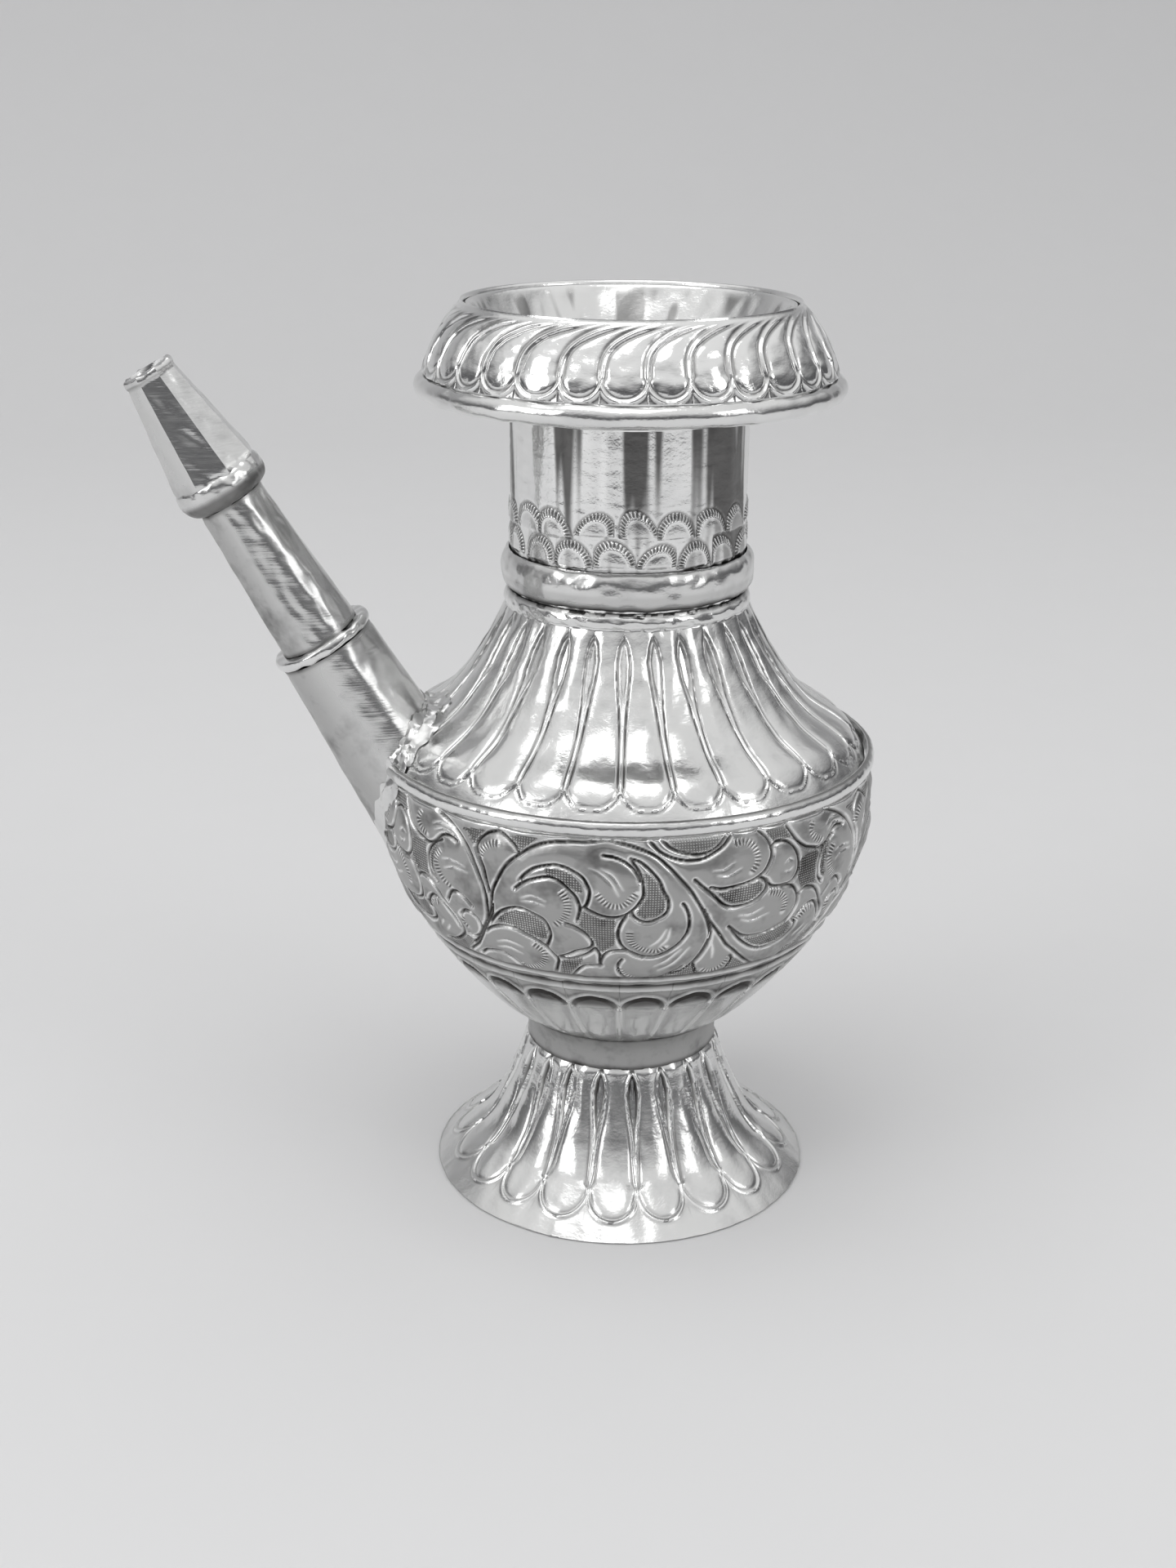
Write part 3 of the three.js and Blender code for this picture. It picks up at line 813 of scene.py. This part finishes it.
def mark_scroll(marks, units, x, y, found):
    """Adds one scroll's marks to the values found so far, for the points near it."""
    for text in marks["outlines"]:
        picked, distance = measured(text, units, x, y, EDGE_REACH)[:2]
        found["edge"][picked] = np.minimum(found["edge"][picked], distance)
    for text in marks["accents"]:
        picked, distance, spot, length = measured(text, units, x, y, 0.8)
        depth = hump(distance, 0.24) * (0.35 + 0.65 * np.sin(np.pi * np.clip(spot / length, 0.0, 1.0)))
        found["accent"][picked] = np.maximum(found["accent"][picked], depth)
    for text in marks["ground"]:
        corners = drawn(text, units)
        picked = close_to(x, y, corners, 0.2)
        inside = within(x[picked], y[picked], corners)
        found["ground"][picked[inside]] = 1.0
    for text in marks["teeth"]:
        picked, distance, spot = measured(text, units, x, y, 1.2)[:3]
        mask = np.exp(-((distance / 0.6) ** 4))
        stronger = mask > found["teeth"][picked]
        found["teeth"][picked[stronger]] = mask[stronger]
        found["phase"][picked[stronger]] = spot[stronger] / 0.64


def band_relief(angle, radius, height, along):
    down = np.interp(height, BAND_Z, BAND_DOWN)
    found = {key: np.zeros(len(angle)) for key in ("accent", "ground", "teeth", "phase")}
    found["edge"] = np.full(len(angle), EDGE_REACH)
    for marks, units, left, turns in SCROLLS:
        for turn in turns:
            across = (angle + PHOTO_TURN - left - turn + 60.0) % 360.0 - 60.0
            mark_scroll(marks, units, across * MM_PER_DEGREE, down, found)
    clear = ease(height, 56.4, 57.4) * ease(85.6 - height, 0.0, 0.7)
    edge = found["edge"]
    ground = found["ground"] * clear
    accent = found["accent"] * clear
    teeth = found["teeth"] * clear
    line = np.exp(-((edge / 0.26) ** 1.8)) * clear
    swell = (1.0 - np.exp(-edge / 1.25)) * (1.0 - ground) * clear
    rib = hump(height - LOW_RIB, 0.42) + hump(height - HIGH_RIB, 0.5) * 0.5
    glint_share = ease(glint_waves(angle, height), -1.2, 0.6)
    # Painted highlights: a bright rim beside each outline, and the accent strokes, are made lighter,
    # unevenly
    painted_glint = hump(edge - 0.48, 0.18) * (1.0 - 0.6 * ground) * (0.4 + 0.6 * glint_share) * clear
    rise = -0.55 + 0.74 * swell + 0.1 * ground - 0.36 * line + 0.4 * rib - 0.3 * accent + 0.07 * painted_glint
    recess = 0.4 * line - 0.75 * painted_glint - 0.8 * accent + 0.3 * hump(height - 56.5, 0.35) - 0.16 * teeth
    return {
        "rise": rise + band_dents(angle, height),
        "recess": recess - 0.5 * (hump(height - LOW_RIB, 0.3) + hump(height - HIGH_RIB, 0.4)),
        "teeth_phase": found["phase"],
        "teeth_mask": teeth,
        "hatch_mask": ground,
        # Painted dark reflection: the whole band is made darker, less so at its top
        "worn": 1.8 - 0.7 * ease(height, 83.0, 86.0),
    }


def half_of(mesh, side, facing):
    """The front or back half of a finished ring, closed where it is cut."""
    bm = bmesh.new()
    bm.from_mesh(mesh)
    everything = bm.verts[:] + bm.edges[:] + bm.faces[:]
    plane = {"plane_co": (0, 0, 0), "plane_no": (0, facing, 0), "dist": 1e-3}
    cut = bmesh.ops.bisect_plane(bm, geom=everything, clear_outer=True, **plane)["geom_cut"]
    bmesh.ops.holes_fill(bm, edges=only(bmesh.types.BMEdge, cut), sides=0)
    return meshed(bm, f"{mesh.name}_{side}")


band_mesh = turned("belly_bowl_scrolls", band_line, inset(band_line, SHEET), 1344, band_relief)
for side, facing in (("front", 1.0), ("back", -1.0)):
    place(half_of(band_mesh, side, facing), "belly_bowl")

# %% [markdown]
# ## Shoulder
# Twenty-eight flutes run up the shoulder. Each panel is gently rounded, and the valley between two panels
# holds a thin bright rib that opens into a pointed hollow near the neck and forks at the bottom.

# %% Shoulder
VALLEY_Z = [91.0, 99.0, 103.5, 107.5, 110.5, 112.8, 114.3]
VALLEY_WIDE = [0.5, 0.5, 0.7, 1.1, 1.2, 0.75, 0.02]
shoulder_row = Row(28, -1.2, seed=23, sway=0.6, pull=0.62)
shoulder_dents = hammered(24, 6.0, 5.0, 0.06)


def shoulder_relief(angle, radius, height, along):
    side, joint, round_end = shoulder_row.measure(angle, radius, height, along, 92.6, 89.6, 2.7, 1.15)
    upper = ease(along, joint - 0.3, joint + 0.7)
    tip = ease(114.6 - height, 0.0, 0.8)
    half = np.interp(height, VALLEY_Z, VALLEY_WIDE)
    edge = upper * (side - half) + (1.0 - upper) * (np.abs(round_end) - 0.36)
    flat = (1.0 - upper) * ease(2.0 * shoulder_row.share(angle), 0.35, 0.6)
    line = hump(edge, 0.18) * tip * (1.0 - 0.6 * flat)
    lancet = ease(height, 101.0, 107.0)
    rib = ease(-edge, 0.0, 0.35) * (1.0 - lancet)
    valley = np.clip(-edge / 1.1, 0.0, 1.0) * lancet * tip
    beyond = (1.0 - upper) * (round_end < 0)
    pillow = swelling(edge, 0.0, 1.0)
    rise = -0.3 + 0.34 * pillow * (1.0 - 0.6 * beyond) + 0.24 * rib - 0.26 * line - 0.75 * valley
    recess = (0.6 * line * (0.6 + 0.4 * upper) + 0.45 * valley - 0.2 * rib) * ease(height, 87.6, 88.6)
    rise = rise + shoulder_dents(angle, height)
    return {"rise": rise, "recess": recess, "turn": shoulder_row.sway(angle), "worn": 0.4}


shoulder_inside = inset(shoulder_line, SHEET, 5.0)
make("shoulder", "chased", shoulder_line, shoulder_inside, 896, shoulder_relief, shoulder_row.crowd)

# %% [markdown]
# ## Bead over the seam, and the neck with its rings
# The seam between bowl and shoulder is hidden under a half-round wire, and two more rings sit at the foot
# of the neck. They are spun from round outlines. The hammer left them slightly uneven.

# %% Rings
def arc(centre_r, centre_z, half_r, half_z, start, end, count):
    """Points on part of an ellipse, in degrees from straight out."""
    turns = np.radians(np.linspace(start, end, count))
    return np.column_stack([centre_r + half_r * np.cos(turns), centre_z + half_z * np.sin(turns)])


def uneven(seed, wide, tall, size, worn=0.0, shade=None):
    """An uneven hammered surface, darkened where shade(height) says."""
    dents = hammered(seed, wide, tall, size)

    def relief(angle, radius, height, along):
        return {"rise": dents(angle, height), "recess": shade(height) if shade else 0.0, "worn": worn}

    return relief


def fat_bead_lower_shade(height):
    """Painted shade on the lower half of the fat bead."""
    return 0.75 * ease(120.2 - height, 0.0, 1.6) + 0.15 * ease(122.0 - height, 0.0, 1.0)


bead = arc(45.9, SEAM, 1.1, 1.4, -88, 88, 20)
bead_relief = uneven(3, 3.0, 4.0, 0.05, 0.2, lambda height: 0.6 * hump(np.abs(height - SEAM) - 1.4, 0.3))
make("belly_bead", "wire", bead, [(45.7, 88.5), (45.7, 85.7)], 512, bead_relief)

band = np.vstack([[(22.6, NECK)], arc(22.0, 116.5, 0.75, 1.3, -50, 70, 14), [(22.0, 118.2)]])
ring_relief = uneven(5, 6.0, 1.6, 0.08, 0.3, lambda height: 0.7 * ease(height, 117.5, 118.2))
make("neck_step_ring", "band", band, [(21.9, 118.2), (21.9, NECK)], 448, ring_relief)

fat = arc(21.9, 122.1, 1.4, 3.4, -88, 88, 40)
fat_relief = uneven(7, 9.0, 3.2, 0.1, 0.5, fat_bead_lower_shade)
make("neck_bead", "ring", fat, [(21.9, 125.5), (21.9, 118.7)], 448, fat_relief)

# %% [markdown]
# ## Neck
# The neck is a straight tube, hammered upright, with two rows of punched scales at its base. Each scale is
# a low dome under half an oval, and a fan of short punches stands along its edge.

# %% Neck tube
SCALES = 18
SCALE_STEP = 360.0 / SCALES
SCALE_ROWS = ((131.7, 3.9, 51), (126.6, -6.5, 52))
upright_dents = hammered(31, 7.0, 30.0, 0.09)
reflected_stripes = hammered(36, 4.0, 80.0, 1.0)
cross_dents = hammered(33, 14.0, 1.2, 0.02)
reflected_bands = hammered(168, 20.0, 70.0, 1.0)


def neck_relief(angle, radius, height, along):
    rise = upright_dents(angle, height) + cross_dents(angle, height)
    # Painted dark reflection: soft upright bands and stripes darken the neck
    dark_patches = ease(reflected_bands(angle, height) + 0.6 * reflected_stripes(angle, height), -0.3, 0.8)
    found = {"recess": 0.86 * dark_patches + 0.5 * hump(height - 125.4, 0.5)}
    found["teeth_phase"] = np.zeros(len(angle))
    found["teeth_mask"] = np.zeros(len(angle))
    for base, first, seed in SCALE_ROWS:
        luck = np.random.default_rng(seed).uniform(-1.0, 1.0, (4, SCALES))
        turned_by = angle - from_photo(first)
        number = np.round(turned_by / SCALE_STEP).astype(int)
        own = luck[:, number % SCALES]
        across = np.radians(turned_by - number * SCALE_STEP - 2.2 * own[0]) * radius
        across = across + 1.2 * own[1] * (height - base) / 4.0
        up = height - base - 0.5 * own[2]
        size = np.hypot(across / (3.4 + 0.35 * own[3]), np.maximum(up, 0.0) / (4.0 + 0.4 * own[1]))
        seen = ease(up, -0.5, 0.2)
        inside = (size < 1.18) & (up > -0.3)
        teeth = np.exp(-(((size - 0.9) / 0.13) ** 4)) * seen
        groove = hump(size - 1.1, 0.08)
        ridge = hump(size - 0.72, 0.06)
        dome = 0.34 * np.clip(1.0 - size ** 2, 0.0, 1.0) + 0.14 * ridge
        rise = np.where(inside, rise * 0.5, rise) + (dome - 0.2 * groove) * seen
        turn = np.arctan2(np.maximum(up, 0.0), across) / math.pi
        dark = 0.4 * groove * seen + 0.28 * teeth + 0.08 + 0.45 * dark_patches * (1.0 - teeth) - 0.3 * ridge
        found["teeth_mask"] = np.where(inside, teeth, found["teeth_mask"])
        found["teeth_phase"] = np.where(inside, turn * 17.0, found["teeth_phase"])
        found["recess"] = np.where(inside, dark, found["recess"])
    return {"rise": rise, **found}


neck_line = np.vstack([even([(21.6, NECK), (21.6, 137.7)], 0.25), even([(21.6, 138.2), (21.6, MOUTH)], 0.6)])
make("neck_tube", "sheet", neck_line, inset(neck_line, SHEET, 5.0), 720, neck_relief)

# %% [markdown]
# ## Mouth
# The mouth is a funnel that opens over the neck. The drooping rim lies over it, with thirty-one lobes that
# lean to the right as they climb, and a round wire closes its edge.

# %% Mouth funnel
funnel_line = even(bend((21.6, MOUTH), (22.0, 160.1), (26.5, 164.1), (29.3, 169.4)), 0.5)
funnel_inner = even(inset(funnel_line, SHEET, 0.5), 0.4)
funnel_dents = hammered(41, 10.0, 9.0, 0.16)
funnel_stain = hammered(43, 8.0, 14.0, 1.0)


def funnel_relief(angle, radius, height, along):
    fade = ease(169.4 - height, 0.0, 2.0)
    dark_patches = 0.5 * ease(funnel_stain(angle, height), 0.4, 1.2)
    return {"rise": funnel_dents(angle, height) * fade, "recess": dark_patches * fade, "worn": 0.3 * fade}


make("mouth_funnel", "wall", funnel_inner, even(funnel_line, 2.5), 448, funnel_relief)

# %% Drooping rim
JOINT_Z = 160.8


def rim_lean(height):
    """How far the lobes have swung to the right at a height, in degrees."""
    return 17.0 * np.clip((height - JOINT_Z) / 8.7, 0.0, 1.0) ** 4


rim_line = bend((37.4, 157.5), (35.6, 163.75), (33.2, 166.1), (30.9, 169.5))
rim_line = even(rim_line + [(30.6, 169.85)], 0.24)
rim_row = Row(31, -7.4, seed=61, sway=0.8, pull=0.5, lean=rim_lean)
rim_dents = hammered(62, 5.0, 3.0, 0.06)


def rim_relief(angle, radius, height, along):
    straight = angle - rim_lean(height)
    side, joint, round_end = rim_row.measure(straight, radius, height, along, JOINT_Z, tip_z=157.7)
    slant = np.radians(rim_lean(height + 0.1) - rim_lean(height)) * radius / 0.1 * 0.8
    upper = ease(along, joint - 0.4, joint + 0.9)
    edge = upper * (side / np.sqrt(1.0 + slant ** 2)) + (1.0 - upper) * round_end
    top = ease(169.4 - height, 0.0, 0.9)
    welt = hump(edge, 0.36) * top
    shade = hump(edge - 0.72, 0.24) * top
    rise = -0.45 + 0.5 * swelling(edge, 0.4, 1.0) * top + 0.42 * welt - 0.12 * shade + 0.15 * (1.0 - top)
    recess = 0.62 * shade + 0.4 * hump(edge + 0.6, 0.25) * (1.0 - upper)
    dents = rim_dents(angle, height) * ease(169.0 - height, 0.0, 2.0)
    return {"rise": rise + dents, "recess": recess, "turn": rim_row.sway(straight)}


rim_edge = [(30.3, 170.0), (29.95, 169.95), (29.7, 169.6), (29.6, 169.2)]
rim_inside = np.vstack([rim_edge, inset(rim_line, SHEET, 1.5)[1:]])
make("rim_flange", "lobed", rim_line, rim_inside, 992, rim_relief, rim_row.crowd)

# %% Rim wire
wire = arc(36.7, 155.2, 2.0, 2.0, -180, 170, 36)
make("rim_bead", "wire", wire, [], 512, uneven(9, 11.0, 6.0, 0.1, 0.25))

# %% [markdown]
# ## Spout
# The spout is built along its own axis from two tubes, a washer, a cup and an eight-sided nozzle, and
# then leaned out to the left at sixty degrees.

# %% Spout frame
SPOUT_RISE = 60.0
ROOT_R = 41.0
ROOT_Z = 83.1
lean = Matrix.Rotation(-math.radians(90.0 - SPOUT_RISE), 4, "Y")
SPOUT = Matrix.Translation((-ROOT_R, 0.0, ROOT_Z)) @ lean


def tube(node, kind, points, bore, relief, steps=288):
    """A spout piece: an outline along the spout's own axis, with a bore behind it."""
    make(node, kind, even(points, 0.35), bore, steps, relief, matrix=SPOUT, crease=40)


def underside(angle):
    """One along the underside of the spout and zero on top, for making the silver darker there."""
    return ease(-np.sin(np.radians(angle)), -0.1, 0.9)


def long_facets(seed, low, high):
    """Long soft facets from drawing a tube over a rod, with dull ends where the solder ran."""
    facets = hammered(seed, 24.0, 60.0, 0.14)
    dents = hammered(seed + 1, 16.0, 5.0, 0.05)

    def relief(angle, radius, height, along):
        from_end = np.minimum(height - low, high - height)
        rise = (facets(angle, height) + dents(angle, height)) * ease(from_end, 0.0, 1.5)
        return {"rise": rise, "recess": 0.4 * hump(from_end, 0.5), "worn": 0.65 + 0.95 * underside(angle)}

    return relief


# %% Tubes, washer and cup
root = [(10.9, -6.0), (9.1, 29.7)]
tube("spout_root_tube", "sheet", root, [(8.2, 29.7), (10.0, -6.0)], long_facets(71, -9.0, 29.7))
washer = np.vstack([[(7.0, 29.9)], arc(9.05, 30.8, 0.65, 0.95, -90, 90, 14), [(7.6, 31.75)]])
tube("spout_step_ring", "washer", washer, [(6.7, 31.8), (6.7, 30.0)], uneven(73, 20.0, 2.0, 0.1, 0.2))
middle = [(7.6, 31.8), (6.1, 61.1)]
tube("spout_middle_tube", "sheet", middle, [(5.2, 61.1), (6.7, 31.8)], long_facets(75, 31.8, 61.1))
cup = bend((6.1, 61.2), (7.8, 61.5), (8.5, 63.0), (8.4, 64.9))
cup = cup + bend((8.4, 64.9), (8.35, 66.1), (8.0, 66.6), (7.0, 66.7))[1:]
cup_relief = uneven(77, 18.0, 2.4, 0.09, 0.6, lambda height: 0.6 * ease(64.6 - height, 0.0, 1.4))
tube("spout_bulb", "cup", cup, [(5.2, 66.5), (5.2, 61.4)], cup_relief)

# %% [markdown]
# The nozzle is turned like the rest, and then its round wall is pressed flat in eight places. A thick lip
# stands round its end, with a small notch where the sheet was joined.

# %% Nozzle
SIDES = 8
SIDE_TURN = 360.0 / SIDES
nozzle_dents = hammered(81, 24.0, 6.0, 0.07)


def nozzle_relief(angle, radius, height, along):
    from_flat = SIDE_TURN / 2.0 - np.abs(fold(angle, SIDE_TURN, SIDE_TURN / 2.0)) * SIDE_TURN
    flat = math.cos(math.pi / SIDES) / np.cos(np.radians(from_flat))
    faceted = ease(height, 65.4, 66.8)
    lip = ease(height, 86.2, 86.5)
    notch = hump(angle + 100.0, 5.0) * lip
    rise = radius * (flat - 1.0) * faceted + nozzle_dents(angle, height) * faceted - 0.35 * notch
    recess = 0.5 * notch + 0.35 * hump(height - 86.2, 0.25) + 0.3 * hump(height - 65.8, 0.4)
    return {"rise": rise, "recess": recess, "worn": 0.35 + 0.6 * underside(angle)}


nozzle_line = bend((7.0, 65.4), (8.1, 65.6), (8.55, 66.4), (8.2, 67.8)) + [(4.8, 86.1)]
nozzle_line = nozzle_line + bend((4.8, 86.1), (5.15, 86.2), (5.15, 87.7), (4.4, 87.7))[1:]
nozzle_bore = [(3.7, 87.6), (3.5, 86.9), (5.6, 65.6)]
tube("spout_nozzle", "faceted", nozzle_line, nozzle_bore, nozzle_relief, 384)

# %% [markdown]
# ## Solder round the spout's foot
# The spout was fixed with far more solder than it needed, and the lumps were left. The solder starts as a
# spun ring. Each of its vertices is then moved so that the ring runs up the spout on one side and out over
# the body on the other, with its middle in the corner between them.

# %% Solder
body_line = np.vstack([lower_line, shoulder_line[1:]])
TO_JUG = np.array(SPOUT)


def body_gap(angle, radius, reach):
    """How far outside the body a point of the spout's own space is, in mm."""
    turn = np.radians(angle)
    spots = (radius * np.sin(turn), -radius * np.cos(turn), reach)
    x, y, z = [sum(row[k] * spots[k] for k in range(3)) + row[3] for row in TO_JUG[:3]]
    return np.hypot(x, y) - np.interp(z, body_line[:, 1], body_line[:, 0])


def meets_body(angle, radius):
    """How far along the spout's axis a line at this angle and radius leaves the body."""
    reach = np.linspace(-12.0, 26.0, 500)[:, None]
    gap = body_gap(angle[None, :], radius[None, :], reach)
    last = len(reach) - 1 - np.argmax((gap < 0.0)[::-1], axis=0)
    closest = np.argmin(gap, axis=0)
    return reach[np.where(gap.min(axis=0) < 0.0, last, closest), 0]


solder_profile = [(10.0, float(step)) for step in range(10)]
solder = turned("spout_solder_lumps", solder_profile, [(9.0, 9.0), (9.0, 0.0)], 240)
angle, _, height = spots_of(solder)
across = height / 9.0
buried = (read(solder, "skin") < 0.5).astype(float)
lumps = [hammered(seed, 16.0, 3.0, 1.0)(angle, height) for seed in (91, 92, 93)]
up_spout = 2.6 + 0.9 * lumps[0]
over_body = (3.7 + 1.1 * lumps[1]) * (1.0 - 0.86 * ease(-np.sin(np.radians(angle)), -0.1, 0.8))
seam = meets_body(angle, np.full(len(angle), 10.6))
root_radii, root_heights = zip(*root)
tube_radius = np.interp(seam, root_heights, root_radii)
foot_of_fillet = meets_body(angle, tube_radius + over_body)
bulge = 2.0 * across * (1.0 - across)
out = across ** 2 * over_body + bulge * (0.8 + 0.6 * lumps[2]) * over_body / 3.7
reach = (1.0 - across) ** 2 * (seam + up_spout) + bulge * (seam + 0.7 + 0.4 * lumps[2])
reach = reach + across ** 2 * foot_of_fillet
move_to(solder, angle, tube_radius + out - 0.8 * buried + 0.03, reach - 0.9 * buried)
place(solder, "spout_solder_collar", "worn_silver", SPOUT)

# %% [markdown]
# ## Studio
# A pale floor runs up into a pale wall behind, and large soft lamps hang over it. Silver shows what is
# round it, so the lamps are wide and the room between them is dimmer, which gives the metal its darks.

# %% Floor and backdrop
def plain(name, colour, roughness):
    """A dull finish with a faint grain."""
    finish = Finish(name)
    grain = finish.noise(finish.node("ShaderNodeTexCoord", out="Object"), 40.0, 4.0)
    shaded = tuple(part * 0.985 for part in colour)
    finish.feed("Base Color", finish.mix(grain, colour, shaded))
    finish.feed("Roughness", roughness)
    return finish.material


def lengthened(bm, edges, step):
    """Pulls the last edge of the sheet on by one step, and gives back its new last edge."""
    grown = bmesh.ops.extrude_edge_only(bm, edges=edges)["geom"]
    bmesh.ops.translate(bm, verts=only(bmesh.types.BMVert, grown), vec=step)
    return only(bmesh.types.BMEdge, grown)


CURVE = 0.6
CURVE_STEPS = 16
sweep = bmesh.new()
start = [sweep.verts.new((x, -1.4, 0.0)) for x in (-1.8, 1.8)]
last = lengthened(sweep, [sweep.edges.new(start)], (0, 2.2, 0))
for step in range(CURVE_STEPS):
    a, b = [math.radians(90.0 * k / CURVE_STEPS) for k in (step, step + 1)]
    onward = CURVE * (math.sin(b) - math.sin(a))
    upward = CURVE * (math.cos(a) - math.cos(b))
    last = lengthened(sweep, last, (0, onward, upward))
lengthened(sweep, last, (0, 0, 1.2))
sweep_mesh = meshed(sweep, "studio_sweep")
sweep_mesh.polygons.foreach_set("use_smooth", [True] * len(sweep_mesh.polygons))
floor = stand("studio_sweep", sweep_mesh)
floor.data.materials.append(plain("pale_paper", (0.84, 0.84, 0.845, 1.0), 0.8))


# %% Lamps and world
def softbox(name, place_at, aim, size, power):
    """A rectangular lamp at a spot, turned to look at another."""
    lamp = bpy.data.lights.new(name, "AREA")
    lamp.shape = "RECTANGLE"
    lamp.size = size[0]
    lamp.size_y = size[1]
    lamp.energy = power
    holder = stand(name, lamp)
    holder.location = place_at
    holder.rotation_euler = (Vector(aim) - Vector(place_at)).to_track_quat("-Z", "Y").to_euler()


softbox("overhead", (-0.15, -0.15, 1.2), (0, 0, 0.05), (0.8, 0.6), 2.0)
softbox("left_window", (-1.1, -0.5, 0.65), (0, 0, 0.1), (0.5, 0.9), 3.2)
softbox("right_window", (0.85, -0.75, 0.6), (0, 0, 0.1), (0.4, 0.7), 1.5)

world = bpy.data.worlds.new("studio_air")
air = Finish("studio_air", world, "Background")
way_up = air.parts(air.node("ShaderNodeTexCoord", out="Generated"))[2]
steps = {0: way_up, 1: 0.06, 2: 0.8, 3: 0.0, 4: 1.0}
tent = air.node("ShaderNodeMapRange", {"interpolation_type": "SMOOTHSTEP"}, steps)
air.feed("Color", air.mix(tent, (0.09, 0.09, 0.094, 1.0), (0.8, 0.8, 0.8, 1.0)))
bpy.context.scene.world = world
bpy.context.scene.view_settings.view_transform = "Standard"

# %% [markdown]
# ## Camera
# The camera stands where the photograph was taken from: about 37 cm away, looking down by twenty degrees.
# Its place came from the jug's own round edges, whose ovals in the picture give the tilt and the distance.

# %% Camera
CAMERA_AT = (-43.6, -364.8, 212.5)
LOOK_DOWN = math.radians(19.86)
YAW = math.radians(-PHOTO_TURN + 1.0917)
ROLL = math.radians(0.4235)

ahead = Vector((-math.sin(YAW), math.cos(YAW), 0.0))
across = Vector((math.cos(YAW), math.sin(YAW), 0.0))
up = Vector((0.0, 0.0, 1.0))
view = math.cos(LOOK_DOWN) * ahead - math.sin(LOOK_DOWN) * up
upright = math.sin(LOOK_DOWN) * ahead + math.cos(LOOK_DOWN) * up
right = math.cos(ROLL) * across + math.sin(ROLL) * upright
above = -math.sin(ROLL) * across + math.cos(ROLL) * upright
lens = bpy.data.cameras.new("photo_camera")
lens.lens = 47.16
lens.sensor_width = 36.0
lens.sensor_fit = "AUTO"
lens.clip_start = 0.01
camera = stand("photo_camera", lens)
turn = Matrix((right, above, -view)).transposed().to_4x4()
camera.matrix_world = Matrix.Translation(Vector(CAMERA_AT) * MM) @ turn
bpy.context.scene.camera = camera
